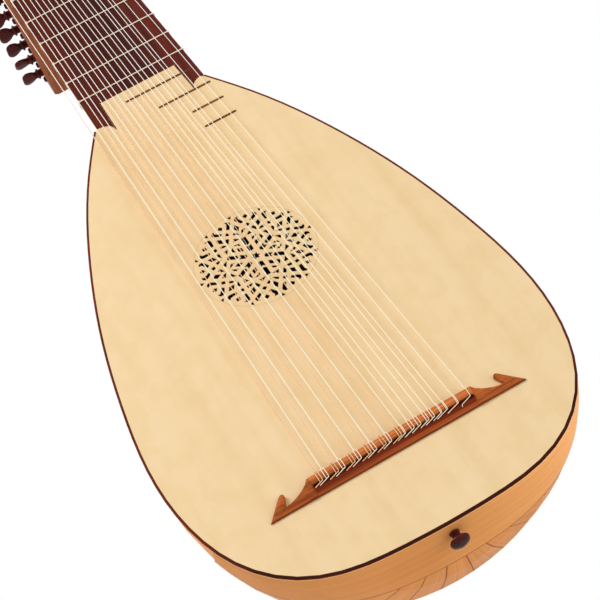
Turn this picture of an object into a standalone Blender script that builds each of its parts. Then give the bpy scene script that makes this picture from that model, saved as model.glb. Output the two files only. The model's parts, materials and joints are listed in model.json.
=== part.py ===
"""Eleven-course baroque lute, lying on the back of its bowl and the end of its bent-back pegbox.

The lute is modelled in its own frame: X across it with the treble side at +X, Y from the bridge
towards the nut, Z up from the top of the soundboard. The empty "lute" then tips it to the slope
at which it rests. Lengths are in metres.
"""

import math

import bmesh
import bpy
import numpy as np
from mathutils import Matrix, Vector
from mathutils.geometry import delaunay_2d_cdt

# Clearance between pieces that are glued or seated together
GAP = 0.0003

# Sounding length of the strings, from the bridge at Y = 0 to the front of the nut
STRING_LENGTH = 0.7000

# Body outline: half of it, as shares of the half width and of the length from tail to neck joint
TAIL_Y = -0.1319 * STRING_LENGTH
NECK_JOINT_Y = 0.5771 * STRING_LENGTH
BODY_HALF_WIDTH = 0.1577
OUTLINE_SHAPE = (
    (0.0, 0.0),
    (0.2536, 0.0026),
    (0.5073, 0.0151),
    (0.6975, 0.0453),
    (0.8637, 0.1054),
    (0.9613, 0.1860),
    (1.0, 0.3069),
    (0.9535, 0.4479),
    (0.8630, 0.5890),
    (0.7058, 0.7502),
    (0.4832, 0.9114),
)
JOINT_SHOULDER = 0.0015

# Bowl
RIB_COUNT = 11
RIB_FACETS = 2
BOWL_DEPTH = 0.1540
BOWL_FULL_DEPTH_END_Y = 0.1857 * STRING_LENGTH
RIB_THICKNESS = 0.0016
RIB_STATIONS = 25
TAIL_OPENING_RADIUS = 0.022
CLASP_THICKNESS = 0.0009
CLASP_HEIGHT = 0.0500
CLASP_END_HEIGHT = 0.0290
CLASP_HALF_REACH = 0.9258 * BODY_HALF_WIDTH
CLASP_STATIONS = 56
CLASP_ROWS = 7

# Soundboard, binding and rose
SOUNDBOARD_THICKNESS = 0.0018
BINDING_WIDTH = 0.0016
BINDING_HEIGHT = 0.0018
BINDING_CHAMFER = 0.0004
RIM_STATIONS = 40
RIM_END_SETBACK = 0.0010
ROSE_CENTRE = (-0.0012, 0.2919 * STRING_LENGTH)
ROSE_RADIUS = 0.0490
ROSE_THICKNESS = 0.0008
ROSE_POCKET_SLOPE = 0.0010
ROSE_POCKET_SIDES = 36
ROSE_DRAWING_RADIUS = 49.0

# Bars under the soundboard: the Y of each full bar, and the small fan bars by the bridge,
# which start on the lowest bar at an X and lean by an angle in degrees
LOWER_BAR_POSITIONS = tuple(share * STRING_LENGTH for share in (-0.086, 0.047, 0.121, 0.200))
UPPER_BAR_POSITIONS = tuple(share * STRING_LENGTH for share in (0.377, 0.443))
FAN_BAR_PLACES = ((0.317, -8.0), (0.495, -20.0), (-0.444, 28.0))
FAN_BARS = tuple((share * BODY_HALF_WIDTH, angle) for share, angle in FAN_BAR_PLACES)
BAR_END_HEIGHT = 0.0040
JOINT_STRIP_WIDTH = 0.0100
JOINT_STRIP_THICKNESS = 0.0010
BAR_WIDTH = 0.0045
BAR_HEIGHT = 0.0150
BAR_END_CLEARANCE = 0.0040
BAR_SCALLOP = 0.0200
FAN_BAR_LENGTH = 0.0857 * STRING_LENGTH
FAN_BAR_WIDTH = 0.0030
FAN_BAR_HEIGHT = 0.0050

# Blocks inside the bowl
NECK_BLOCK_LENGTH = 0.0600
END_BLOCK_HALF_WIDTH = 0.0350
END_BLOCK_HEIGHT = 0.0400
END_BLOCK_THICKNESS = 0.0120

# Neck and fingerboard
NECK_JOINT_WIDTH = 0.0980
NECK_JOINT_CENTRE_X = 0.0013
NECK_NUT_WIDTH = 0.0825
NECK_NUT_CENTRE_X = -0.00395
NECK_JOINT_DEPTH = 0.0300
NECK_NUT_DEPTH = 0.0205
NECK_STATIONS = 9
NECK_TAPER_POWER = 0.8
NECK_ROUND_POWER = 0.9
VENEER_THICKNESS = 0.0008
FINGERBOARD_THICKNESS = 0.0018
TONGUE_LENGTH = 0.0250
TONGUE_BASS_MARGIN = 0.0132
TONGUE_TREBLE_MARGIN = 0.0146
BARB_DEPTH = 0.0087
BARB_WIDTH = 0.0125

# Frets
TIED_FRET_COUNT = 8
TIED_FRET_DIAMETER = 0.0011
KNOT_SWELL = 2.1

# Nut
NUT_THICKNESS = 0.0050
NUT_HEIGHT = 0.0012
RIDER_NUT_WIDTH = 0.0105

# Bridge: its block, its thin arms and the horns that curl forward at their ends
BRIDGE_SKEW_DEG = 0.8
BRIDGE_CENTRE_X = 0.0019
BRIDGE_REAR_Y = -0.0204
BRIDGE_FRONT_Y = -0.0052
BRIDGE_BLOCK_LENGTH = 0.1320
BRIDGE_LENGTH = 0.2090
BRIDGE_HEIGHT = 0.0080
BRIDGE_RIDGE_WIDTH = 0.0072
BRIDGE_APRON_TOP = 0.0044
BRIDGE_APRON_BEVEL = 0.0034
BRIDGE_BEVEL_TOP = 0.9
BRIDGE_REAR_HEIGHT = 0.0014
BRIDGE_ARM_HEIGHT = 0.0036
BRIDGE_ARM_DEPTH = 0.0052
HORN_HEIGHT = 0.0046
HORN_BASE = 0.0120
HORN_TIP_WIDTH = 0.0049
HORN_FORWARD = 0.0160
HORN_INWARD = 0.0172
HORN_FACE_DEPTH = 0.0036
HORN_STEP = 0.0001
BRIDGE_RIDGE_ROUNDING = 0.0020
BRIDGE_UNDERCUT = 0.0014
BRIDGE_FACET = 0.0012

# Pegbox, in its own frame: u runs down it from the nut, v out of its open side
PEGBOX_ANGLE_DEG = 86.0
PEGBOX_LENGTH = 0.2245
PEGBOX_NUT_DEPTH = 0.0240
PEGBOX_END_DEPTH = 0.0160
PEGBOX_END_WIDTH = 0.0440
PEGBOX_DROP = 0.0035
PEGBOX_SETBACK = 0.0020
CHEEK_THICKNESS = 0.0045
CHEEK_CUTAWAY = 0.0045
CHEEK_CUTAWAY_LENGTH = 0.0500
BACK_THICKNESS = 0.0040
BACK_ROUNDING = 0.0030
HEAD_BLOCK_LENGTH = 0.0220
HEAD_BLOCK_SETBACK = 0.0042
NECK_TONGUE_THICKNESS = 0.0030
END_BLOCK_LENGTH = 0.0075

# Pegs
PEGBOX_PEG_COUNT = 17
FIRST_PEG_U = 0.0345
LAST_PEG_MARGIN = 0.0132
PEG_PITCH = (PEGBOX_LENGTH - FIRST_PEG_U - LAST_PEG_MARGIN) / (PEGBOX_PEG_COUNT - 1)
PEG_AXIS_DEPTH = 0.0075
PEG_RADIUS = 0.0039
PEG_TIP_RADIUS = 0.0031
PEG_CLEARANCE = 0.00008
PEG_TIP_REACH = 0.0020
PEG_COLLAR_GAP = 0.0035
PEG_COLLAR_RADIUS = 0.0052
PEG_COLLAR_LENGTH = 0.0016
PEG_NECK_RADIUS = 0.0034
PEG_HEAD_LENGTH = 0.0150
PEG_HEAD_HALF_WIDTH = 0.0090
PEG_HEAD_HALF_THICKNESS = 0.0030
PEG_SIDES = 10
PEG_HEAD_ANGLES = (78.0, 104.0, 90.0, 66.0, 98.0, 83.0, 115.0)

# Riders that carry the first course and the eleventh
RIDER_WALL = 0.0016
RIDER_FLOOR = 0.0030
RIDER_HEIGHT = 0.0170
RIDER_PEG_V = 0.0110
RIDER_END_WALL = 0.0035
TREBLE_RIDER_WIDTH = 0.0110
TREBLE_RIDER_LENGTH = 0.0300
TREBLE_RIDER_PEG_U = 0.0165
BASS_RIDER_WIDTH = 0.0112
BASS_RIDER_LENGTH = 0.0350
BASS_RIDER_DROP = 0.0073
BASS_RIDER_PEG_US = (0.0085, 0.0272)
RIDER_PEG_RADIUS = 0.0034
RIDER_PEG_TIP_REACH = 0.0008
RIDER_ENTRY_DROP = 0.0028
RIDER_ENTRY_LENGTH = 0.0100

# Strings: where each crosses the bridge and the nut, from the bass side to the treble, as shares of
# half the length of the bridge block and half the width of the nut
BRIDGE_STRING_PLACES = (
    -0.8955, -0.8197, -0.7000, -0.6182, -0.4955, -0.4182, -0.2970, -0.2288, -0.1121, -0.0394,
    0.0818, 0.1424, 0.2379, 0.3212, 0.4227, 0.4939, 0.5939, 0.6652, 0.8015, 0.9576,
)
NUT_STRING_PLACES = (
    -1.1552, -1.0267, -0.9224, -0.8352, -0.7261, -0.6364, -0.5394, -0.4448, -0.3382, -0.2436,
    -0.1370, -0.0448, 0.0788, 0.1539, 0.2800, 0.3406, 0.4667, 0.5224, 0.6873, 0.8618,
)
BRIDGE_STRING_X = tuple(BRIDGE_CENTRE_X + share * BRIDGE_BLOCK_LENGTH / 2
                        for share in BRIDGE_STRING_PLACES)
NUT_STRING_X = tuple(NECK_NUT_CENTRE_X + share * NECK_NUT_WIDTH / 2 for share in NUT_STRING_PLACES)
WOUND_STRINGS = (0, 2, 4, 6, 8, 10)
SINGLE_STRINGS = (18, 19)
WOUND_RADIUS = 0.00045
PLAIN_RADIUS = 0.00035
SINGLE_RADIUS = 0.00028
STRING_HEIGHT_AT_BRIDGE = 0.0066
STRING_CONVERGENCE = 3.4
RIDER_STRING_SHIFT = (0.0, -0.0003, -0.0014)
STRING_LOOP_LEAN = 0.0010
STRING_TAIL_LIFT = 0.0012
LAST_TAIL_REACH = 0.0055
NUT_ENTRY = 0.0008
NUT_EXIT = 0.0015
NUT_EXIT_DROP = 0.0016

# Strap button on the tail
BUTTON_X = 0.0028
BUTTON_Z = -0.0140
BUTTON_HEAD_RADIUS = 0.0077
BUTTON_STEM_RADIUS = 0.0030
BUTTON_STEM_LENGTH = 0.0065
BUTTON_HEAD_THICKNESS = 0.0045
BUTTON_DOWEL_LENGTH = 0.0100

SPRUCE = ("spruce", (0.88, 0.64, 0.38), 0.55)
RIB_WOOD = ("rib_wood", (0.70, 0.36, 0.13), 0.38)
DARK_WOOD = ("dark_wood", (0.13, 0.030, 0.016), 0.35)
BINDING_WOOD = ("binding_wood", (0.075, 0.018, 0.008), 0.35)
BRIDGE_WOOD = ("bridge_wood", (0.30, 0.09, 0.035), 0.33)
PEG_WOOD = ("peg_wood", (0.060, 0.016, 0.010), 0.28)
PEGBOX_WOOD = ("pegbox_wood", (0.36, 0.12, 0.045), 0.38)
NECK_WOOD = ("neck_wood", (0.55, 0.33, 0.16), 0.50)
BONE = ("bone", (0.85, 0.78, 0.62), 0.40)
GUT = ("gut", (0.88, 0.80, 0.62), 0.35)


def clear_scene():
    for obj in list(bpy.data.objects):
        bpy.data.objects.remove(obj, do_unlink=True)


def material(finish):
    name, colour, roughness = finish
    found = bpy.data.materials.get(name)
    if found:
        return found
    made = bpy.data.materials.new(name)
    made.use_nodes = True
    shader = made.node_tree.nodes["Principled BSDF"]
    shader.inputs["Base Color"].default_value = (*colour, 1.0)
    shader.inputs["Roughness"].default_value = roughness
    return made


def make_root():
    root = bpy.data.objects.new("lute", None)
    bpy.context.scene.collection.objects.link(root)
    return root


def add_object(name, mesh, root, finish):
    obj = bpy.data.objects.new(name, mesh)
    mesh.materials.append(material(finish))
    bpy.context.scene.collection.objects.link(obj)
    obj.parent = root
    return obj


def solid(name, verts, faces, root, finish, smooth_deg=35.0):
    """Object from points and faces, with the faces turned outward."""
    mesh = bpy.data.meshes.new(name)
    mesh.from_pydata([tuple(v) for v in verts], [], faces)
    work = bmesh.new()
    work.from_mesh(mesh)
    bmesh.ops.remove_doubles(work, verts=work.verts, dist=1e-6)
    bmesh.ops.recalc_face_normals(work, faces=work.faces)
    work.to_mesh(mesh)
    work.free()
    mesh.shade_smooth()
    mesh.set_sharp_from_angle(angle=math.radians(smooth_deg))
    return add_object(name, mesh, root, finish)


def natural_spline(points):
    """Cubic spline through the points, by distance along their chords."""
    points = np.array(points, float)
    chords = np.linalg.norm(np.diff(points, axis=0), axis=1)
    knots = np.concatenate(([0.0], np.cumsum(chords)))
    count = len(points)
    system = np.eye(count)
    right = np.zeros_like(points)
    for i in range(1, count - 1):
        system[i, i - 1:i + 2] = chords[i - 1], 2 * (chords[i - 1] + chords[i]), chords[i]
        after = (points[i + 1] - points[i]) / chords[i]
        before = (points[i] - points[i - 1]) / chords[i - 1]
        right[i] = 6 * (after - before)
    second = np.linalg.solve(system, right)

    def at(distance):
        i = int(np.clip(np.searchsorted(knots, distance) - 1, 0, count - 2))
        width = chords[i]
        a = (knots[i + 1] - distance) / width
        b = (distance - knots[i]) / width
        bend = ((a ** 3 - a) * second[i] + (b ** 3 - b) * second[i + 1]) * width * width / 6
        return a * points[i] + b * points[i + 1] + bend

    return at, knots


BODY_LENGTH = NECK_JOINT_Y - TAIL_Y
SHELL_INSET = CLASP_THICKNESS + GAP
RIM_DROP = max(BINDING_HEIGHT, SOUNDBOARD_THICKNESS) + GAP
BOARD_DROP = max(SOUNDBOARD_THICKNESS, FINGERBOARD_THICKNESS) + GAP
HALF_FACET_ANGLE = math.pi / (RIB_COUNT * RIB_FACETS) / 2


def half_outline():
    points = [(x * BODY_HALF_WIDTH, TAIL_Y + y * BODY_LENGTH) for x, y in OUTLINE_SHAPE]
    points.append((NECK_JOINT_WIDTH / 2 + JOINT_SHOULDER, NECK_JOINT_Y))
    mirrored = [(-x, y) for x, y in points[2:0:-1]]
    at, knots = natural_spline(mirrored + points)
    return at, knots[len(mirrored)], knots[-1]


RIM_AT, RIM_START, RIM_END = half_outline()


def rim_point(distance, inset=0.0):
    """Point of the right half of the outline, moved inward by the inset."""
    step = 0.0005
    point = RIM_AT(distance)
    along = RIM_AT(min(distance + step, RIM_END)) - RIM_AT(distance - step)
    along /= np.linalg.norm(along)
    moved = point + inset * np.array((-along[1], along[0]))
    return Vector((moved[0], moved[1]))


def rim_distances(count, start=RIM_START):
    return [start + (RIM_END - start) * i / (count - 1) for i in range(count)]


def board_distances():
    """Stations of the soundboard's edge, which ends just short of the neck."""
    distances = rim_distances(RIM_STATIONS)
    distances[-1] -= RIM_END_SETBACK
    return distances


def full_rim(inset):
    """Outline from the treble side of the neck round the tail to the bass side, in the XY plane."""
    right = [rim_point(d, inset) for d in board_distances()]
    right[0].x = 0.0
    left = [Vector((-p.x, p.y)) for p in right[1:]]
    return right[:0:-1] + [right[0]] + left


SHELL = [rim_point(d, SHELL_INSET) for d in rim_distances(400)]
SHELL_X = np.array([p.x for p in SHELL])
SHELL_Y = np.array([p.y for p in SHELL])
WIDEST = int(np.argmax(SHELL_X))


def depth_ratio(y):
    """How deep the bowl is, as a share of its half width there."""
    full = BOWL_DEPTH / math.cos(HALF_FACET_ANGLE) / BODY_HALF_WIDTH
    at_joint = NECK_JOINT_DEPTH / math.cos(HALF_FACET_ANGLE) / (NECK_JOINT_WIDTH / 2)
    share = (y - BOWL_FULL_DEPTH_END_Y) / (NECK_JOINT_Y - BOWL_FULL_DEPTH_END_Y)
    return full - (full - at_joint) * min(max(share, 0.0), 1.0) ** 2


def bowl_point(distance, angle):
    """Point on the bowl: angle 0 is the middle of its back, +90 degrees its treble edge."""
    at = rim_point(distance, SHELL_INSET)
    return Vector((at.x * math.sin(angle), at.y, -depth_ratio(at.y) * at.x * math.cos(angle)))


def bowl_inward(distance, angle):
    """Inward normal of the smooth bowl."""
    step = 0.0005
    along = bowl_point(min(distance + step, RIM_END), angle) - bowl_point(distance - step, angle)
    across = bowl_point(distance, angle + 0.01) - bowl_point(distance, angle - 0.01)
    normal = along.cross(across).normalized()
    centre = Vector((0.0, TAIL_Y + BODY_LENGTH / 3, 0.0))
    if normal.dot(centre - bowl_point(distance, angle)) < 0:
        normal.negate()
    return normal


def rib_distances():
    start = RIM_START
    while rim_point(start, SHELL_INSET).x < TAIL_OPENING_RADIUS:
        start += 0.0005
    return rim_distances(RIB_STATIONS, start)


def joint_angle(index):
    return -math.pi / 2 + math.pi * index / RIB_COUNT


def joint_points(distance, index, inward_extra=0.0):
    """Outer and inner corner of the bowl's wall at a joint between ribs, or part of the way to the next."""
    angle = joint_angle(index)
    outer = bowl_point(distance, angle)
    inward = bowl_inward(distance, angle)
    inner = outer + inward * (RIB_THICKNESS / math.cos(HALF_FACET_ANGLE) + inward_extra)
    return outer, inner


def at_height(low, high, z):
    """Point at height z on the line through two points."""
    share = (z - low.z) / (high.z - low.z)
    return low + (high - low) * share


def loft(rings, closed=False):
    """Skin over rings of as many points each, with end caps unless the rings close on themselves."""
    verts = [Vector(p) for ring in rings for p in ring]
    size = len(rings[0])
    count = len(rings)
    faces = []
    for i in range(count if closed else count - 1):
        here = i * size
        after = (i + 1) % count * size
        for k in range(size):
            nxt = (k + 1) % size
            faces.append((here + k, here + nxt, after + nxt, after + k))
    if not closed:
        faces.append(tuple(reversed(range(size))))
        faces.append(tuple(range((count - 1) * size, count * size)))
    return verts, faces


def shell_loft(outer_rows, inner_rows):
    """Open curved wall between two grids of points that match."""
    rows = len(outer_rows)
    cols = len(outer_rows[0])
    verts = [Vector(p) for grid in (outer_rows, inner_rows) for row in grid for p in row]
    under = rows * cols
    faces = []
    for i in range(rows - 1):
        for k in range(cols - 1):
            a = i * cols + k
            b = a + cols
            faces.append((a, a + 1, b + 1, b))
            faces.append((under + a, under + b, under + b + 1, under + a + 1))
    edge = [k for k in range(cols)]
    edge += [i * cols + cols - 1 for i in range(1, rows)]
    edge += [(rows - 1) * cols + k for k in range(cols - 2, -1, -1)]
    edge += [i * cols for i in range(rows - 2, 0, -1)]
    for a, b in zip(edge, edge[1:] + edge[:1]):
        faces.append((a, b, under + b, under + a))
    return verts, faces


def inside(point, polygon):
    x, y = point
    hit = False
    for (x1, y1), (x2, y2) in zip(polygon, polygon[1:] + polygon[:1]):
        if (y1 > y) != (y2 > y) and x < (x2 - x1) * (y - y1) / (y2 - y1) + x1:
            hit = not hit
    return hit


def plate(outline, holes, place, creases=()):
    """Flat plate with holes and creases; place(x, y, side) is the point on its top, 0, or foot, 1."""
    loops = [[tuple(p) for p in outline]] + [[tuple(p) for p in hole] for hole in holes]
    lines = loops + [[tuple(p) for p in crease] for crease in creases]
    points = [Vector(p) for one in lines for p in one]
    edges = []
    start = 0
    for one in lines:
        size = len(one)
        edges += [(start + k, start + (k + 1) % size) for k in range(size)]
        start += size
    flat, _, triangles, _, _, _ = delaunay_2d_cdt(points, edges, [], 0, 1e-7)
    kept = []
    for tri in triangles:
        middle = sum((flat[i] for i in tri), Vector((0.0, 0.0))) / 3
        if inside(middle, loops[0]) and not any(inside(middle, one) for one in loops[1:]):
            kept.append(tuple(tri))
    used = sorted({i for tri in kept for i in tri})
    index = {old: new for new, old in enumerate(used)}
    size = len(used)
    verts = [place(flat[i].x, flat[i].y, side) for side in (0, 1) for i in used]
    faces = [tuple(index[i] for i in tri) for tri in kept]
    directed = {(tri[k], tri[(k + 1) % 3]) for tri in faces for k in range(3)}
    under = [tuple(size + i for i in reversed(tri)) for tri in faces]
    walls = [(b, a, size + a, size + b) for a, b in directed if (b, a) not in directed]
    return verts, faces + under + sorted(walls)


def flat_plate(top, bottom):
    return lambda x, y, side: Vector((x, y, bottom if side else top))


def circle(centre, radius, sides, turn=0.0):
    turns = [turn + 2 * math.pi * k / sides for k in range(sides)]
    return [Vector((centre[0] + radius * math.cos(t), centre[1] + radius * math.sin(t))) for t in turns]


def box(low, high):
    """Corner rings of a box, for loft."""
    return [[(low[0], y, low[2]), (high[0], y, low[2]), (high[0], y, high[2]), (low[0], y, high[2])]
            for y in (low[1], high[1])]


def guide(obj):
    obj.hide_render = True
    obj.display_type = "WIRE"
    return obj


def combine(obj, other, operation):
    guide(other)
    modifier = obj.modifiers.new(operation.lower(), "BOOLEAN")
    modifier.operation = operation
    modifier.solver = "EXACT"
    modifier.object = other


def rod(name, start, end, radius, sides, root, finish):
    """Straight round rod between two points."""
    start = Vector(start)
    end = Vector(end)
    turn = (end - start).to_track_quat("Z", "Y").to_matrix()
    rings = [[point + turn @ Vector((p.x, p.y, 0.0)) for p in circle((0, 0), radius, sides)]
             for point in (start, end)]
    return solid(name, *loft(rings), root, finish)


def ribs(root):
    distances = rib_distances()
    for number in range(RIB_COUNT):
        rings = []
        for distance in distances:
            corners = [joint_points(distance, number + k / RIB_FACETS) for k in range(RIB_FACETS + 1)]
            wall = [list(line) for line in zip(*corners)]
            side_a = (wall[0][1] - wall[0][0]).normalized() * GAP / 2
            side_b = (wall[0][-2] - wall[0][-1]).normalized() * GAP / 2
            for line in wall:
                if number == 0:
                    line[0] = at_height(line[1], line[0], -RIM_DROP)
                if number == RIB_COUNT - 1:
                    line[-1] = at_height(line[-2], line[-1], -RIM_DROP)
                line[0] = line[0] + side_a
                line[-1] = line[-1] + side_b
            ring = wall[0] + wall[1][::-1]
            if distance == distances[-1]:
                for point in ring:
                    point.y = NECK_JOINT_Y
            rings.append(ring)
        solid(f"rib_{number + 1:02d}", *loft(rings), root, RIB_WOOD, smooth_deg=20)


def tail_y(x, z):
    """Y of the ribs' outer faces at the tail."""
    angle = math.atan2(x, max(-z, 1e-6) / depth_ratio(TAIL_Y))
    facet = math.floor((angle + math.pi / 2) / (2 * HALF_FACET_ANGLE))
    middle = -math.pi / 2 + (facet + 0.5) * 2 * HALF_FACET_ANGLE
    radius = math.hypot(x, z / depth_ratio(TAIL_Y))
    radius *= math.cos(angle - middle) / math.cos(HALF_FACET_ANGLE)
    return float(np.interp(radius, SHELL_X[:WIDEST + 1], SHELL_Y[:WIDEST + 1]))


def tail_point(x, z, outward):
    """Point at the tail, this far outside the ribs' outer faces."""
    step = 0.0008
    slope_x = (tail_y(x + step, z) - tail_y(x - step, z)) / (2 * step)
    slope_z = (tail_y(x, z + step) - tail_y(x, z - step)) / (2 * step)
    normal = Vector((slope_x, -1.0, slope_z)).normalized()
    return Vector((x, tail_y(x, z), z)) + normal * outward


def tail_strip(half_reach, top, bottom_at, outer, inner, columns, rows):
    """Curved strip that follows the tail, between two distances from the ribs' outer faces."""
    outer_rows = []
    inner_rows = []
    for i in range(columns):
        x = half_reach * math.sin(math.pi / 2 * (2 * i / (columns - 1) - 1))
        heights = [top + (bottom_at(x) - top) * k / (rows - 1) for k in range(rows)]
        outer_rows.append([tail_point(x, z, outer) for z in heights])
        inner_rows.append([tail_point(x, z, inner) for z in heights])
    return shell_loft(outer_rows, inner_rows)


def clasp(root):
    def lower_edge(x):
        return -CLASP_HEIGHT + (CLASP_HEIGHT - CLASP_END_HEIGHT) * (x / CLASP_HALF_REACH) ** 2

    strip = tail_strip(CLASP_HALF_REACH, -RIM_DROP, lower_edge, GAP + CLASP_THICKNESS, GAP,
                       CLASP_STATIONS, CLASP_ROWS)
    obj = solid("clasp", *strip, root, RIB_WOOD)
    bore = rod("clasp_bore", button_point(0.01), button_point(-0.01),
               BUTTON_STEM_RADIUS + 2 * GAP, 12, root, PEG_WOOD)
    combine(obj, bore, "DIFFERENCE")


def button_point(out):
    """Point on the strap button's axis, this far outside the clasp."""
    return tail_point(BUTTON_X, BUTTON_Z, GAP + CLASP_THICKNESS + out)


def end_block(root):
    inner_face = -(RIB_THICKNESS + GAP) / math.cos(HALF_FACET_ANGLE) - GAP
    strip = tail_strip(END_BLOCK_HALF_WIDTH, -BOARD_DROP - GAP, lambda x: -END_BLOCK_HEIGHT,
                       inner_face, inner_face - END_BLOCK_THICKNESS, 9, 4)
    obj = solid("end_block", *strip, root, NECK_WOOD)
    bore = rod("end_block_bore", button_point(0.01), button_point(-BUTTON_DOWEL_LENGTH - 2 * GAP),
               BUTTON_STEM_RADIUS + 2 * GAP, 12, root, PEG_WOOD)
    combine(obj, bore, "DIFFERENCE")


def strap_button(root):
    """Turned button with its dowel, on the axis that its point function gives."""
    stem = GAP
    head = stem + BUTTON_STEM_LENGTH
    profile = (
        (-BUTTON_DOWEL_LENGTH, BUTTON_STEM_RADIUS - GAP),
        (stem, BUTTON_STEM_RADIUS - GAP),
        (stem, BUTTON_STEM_RADIUS + 0.0012),
        (stem + 0.0010, BUTTON_STEM_RADIUS + 0.0004),
        (head - 0.0015, BUTTON_STEM_RADIUS),
        (head, BUTTON_HEAD_RADIUS * 0.78),
        (head + 0.0010, BUTTON_HEAD_RADIUS),
        (head + BUTTON_HEAD_THICKNESS * 0.45, BUTTON_HEAD_RADIUS),
        (head + BUTTON_HEAD_THICKNESS * 0.72, BUTTON_HEAD_RADIUS * 0.86),
        (head + BUTTON_HEAD_THICKNESS * 0.92, BUTTON_HEAD_RADIUS * 0.60),
        (head + BUTTON_HEAD_THICKNESS, BUTTON_HEAD_RADIUS * 0.36),
    )
    axis = (button_point(0.01) - button_point(0.0)).normalized()
    turn = axis.to_track_quat("Z", "Y").to_matrix()
    rings = [[button_point(0.0) + axis * out + turn @ Vector((p.x, p.y, 0.0))
              for p in circle((0, 0), radius, 20)] for out, radius in profile]
    solid("strap_button", *loft(rings), root, PEG_WOOD)


def neck_middle(y):
    share = (y - NECK_JOINT_Y) / (STRING_LENGTH - NECK_JOINT_Y)
    return NECK_JOINT_CENTRE_X + (NECK_NUT_CENTRE_X - NECK_JOINT_CENTRE_X) * share


def neck_half_width(y):
    share = (y - NECK_JOINT_Y) / (STRING_LENGTH - NECK_JOINT_Y)
    return (NECK_JOINT_WIDTH + (NECK_NUT_WIDTH - NECK_JOINT_WIDTH) * share) / 2


def neck_depth(y):
    share = max((y - NECK_JOINT_Y) / (STRING_LENGTH - NECK_JOINT_Y), 0.0)
    return NECK_JOINT_DEPTH + (NECK_NUT_DEPTH - NECK_JOINT_DEPTH) * share ** NECK_TAPER_POWER


NECK_END_Y = STRING_LENGTH + NUT_THICKNESS


PEGBOX_TURN = math.radians(PEGBOX_ANGLE_DEG)
PEGBOX_DOWN = Vector((0.0, math.cos(PEGBOX_TURN), -math.sin(PEGBOX_TURN)))
PEGBOX_OUT = Vector((0.0, math.sin(PEGBOX_TURN), math.cos(PEGBOX_TURN)))
PEGBOX_START = Vector((0.0, NECK_END_Y + PEGBOX_SETBACK, -PEGBOX_DROP))
NOTCH_TOP = -BOARD_DROP - NECK_TONGUE_THICKNESS


def seam(side):
    """Edge between soundboard and fingerboard, moved by half the gap to one side of it."""
    left_edge = neck_middle(NECK_JOINT_Y) - neck_half_width(NECK_JOINT_Y)
    right_edge = neck_middle(NECK_JOINT_Y) + neck_half_width(NECK_JOINT_Y)
    tip_y = NECK_JOINT_Y - BARB_DEPTH
    end_y = NECK_JOINT_Y + TONGUE_LENGTH
    turns = [math.pi / 2 * k / 6 for k in range(7)]
    curve = [(BARB_WIDTH * math.sin(t), tip_y + BARB_DEPTH * math.cos(t)) for t in turns]
    points = [(right_edge - x, y) for x, y in curve]
    points += [(right_edge - TONGUE_TREBLE_MARGIN, end_y), (left_edge + TONGUE_BASS_MARGIN, end_y)]
    points += [(left_edge + x, y) for x, y in reversed(curve)]
    points = [Vector(p) for p in points]
    moved = []
    for k, point in enumerate(points):
        before = (point - points[k - 1]).normalized() if k else (points[1] - point).normalized()
        after = (points[k + 1] - point).normalized() if k < len(points) - 1 else before
        normal_a = Vector((-before.y, before.x))
        normal_b = Vector((-after.y, after.x))
        mitre = (normal_a + normal_b).normalized()
        reach = min(1 / max(mitre.dot(normal_a), 0.3), 3.0)
        moved.append(point + mitre * side * GAP / 2 * reach)
    return moved


def rose_holes():
    """Openings of the rose, on the scale of its drawing: those of one twelfth, turned and mirrored."""
    def kite(middle, length, width):
        return [(0.0, middle + length / 2), (width / 2, middle),
                (0.0, middle - length / 2), (-width / 2, middle)]

    star = []
    for k, radius in enumerate((2.1, 3.9) * 6):
        star.append((radius * math.sin(math.pi * k / 6), radius * math.cos(math.pi * k / 6)))
    hook = [(5.2, 36.0), (7.6, 36.9), (5.2, 41.7), (5.0, 42.9), (6.3, 44.3), (3.4, 44.5), (1.7, 42.4),
            (2.3, 40.4)]
    slot = [(0.0, 13.6), (1.9, 14.9), (1.9, 22.4), (-1.9, 22.4), (-1.9, 14.9)]
    arrow = [(0.0, 6.5), (2.0, 7.5), (2.1, 13.1), (0.0, 11.7), (-2.1, 13.1), (-2.0, 7.5)]
    triangle = [(0.0, 44.6), (1.8, 47.8), (-1.8, 47.8)]
    twelfth = (
        [(5.2, 15.9), (10.3, 19.3), (7.2, 19.6), (5.4, 18.7)],
        [(2.4, 22.6), (8.7, 22.4), (6.8, 25.9)],
        [(0.7, 26.4), (5.6, 29.2), (4.0, 31.3), (2.0, 29.7)],
        [(6.6, 32.4), (8.6, 30.4), (10.9, 32.2), (8.9, 34.6)],
        [(9.5, 27.7), (12.4, 23.0), (13.3, 26.1), (12.0, 29.2)],
        hook,
        [(8.8, 41.4), (10.5, 38.6), (13.1, 40.7), (11.4, 43.4)],
    )
    holes = [(star, 0)]
    holes += [(triangle, 30 * k) for k in range(12)]
    holes += [(kite(34.1, 7.8, 4.8), 30 * k) for k in range(12)]
    for turn in range(0, 360, 60):
        holes += [(slot, turn), (arrow, turn), (kite(14.6, 7.0, 4.4), turn + 30)]
        for shape, extra in [(one, 0) for one in twelfth] + [(hook, 30)]:
            holes.append((shape, turn + extra))
            holes.append(([(-x, y) for x, y in reversed(shape)], turn + extra))
    centre = Vector(ROSE_CENTRE)
    scale = ROSE_RADIUS / ROSE_DRAWING_RADIUS
    placed = []
    for shape, degrees in holes:
        turn = Matrix.Rotation(math.radians(degrees), 2)
        placed.append([centre + turn @ Vector(point) * scale for point in shape])
    return placed


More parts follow.
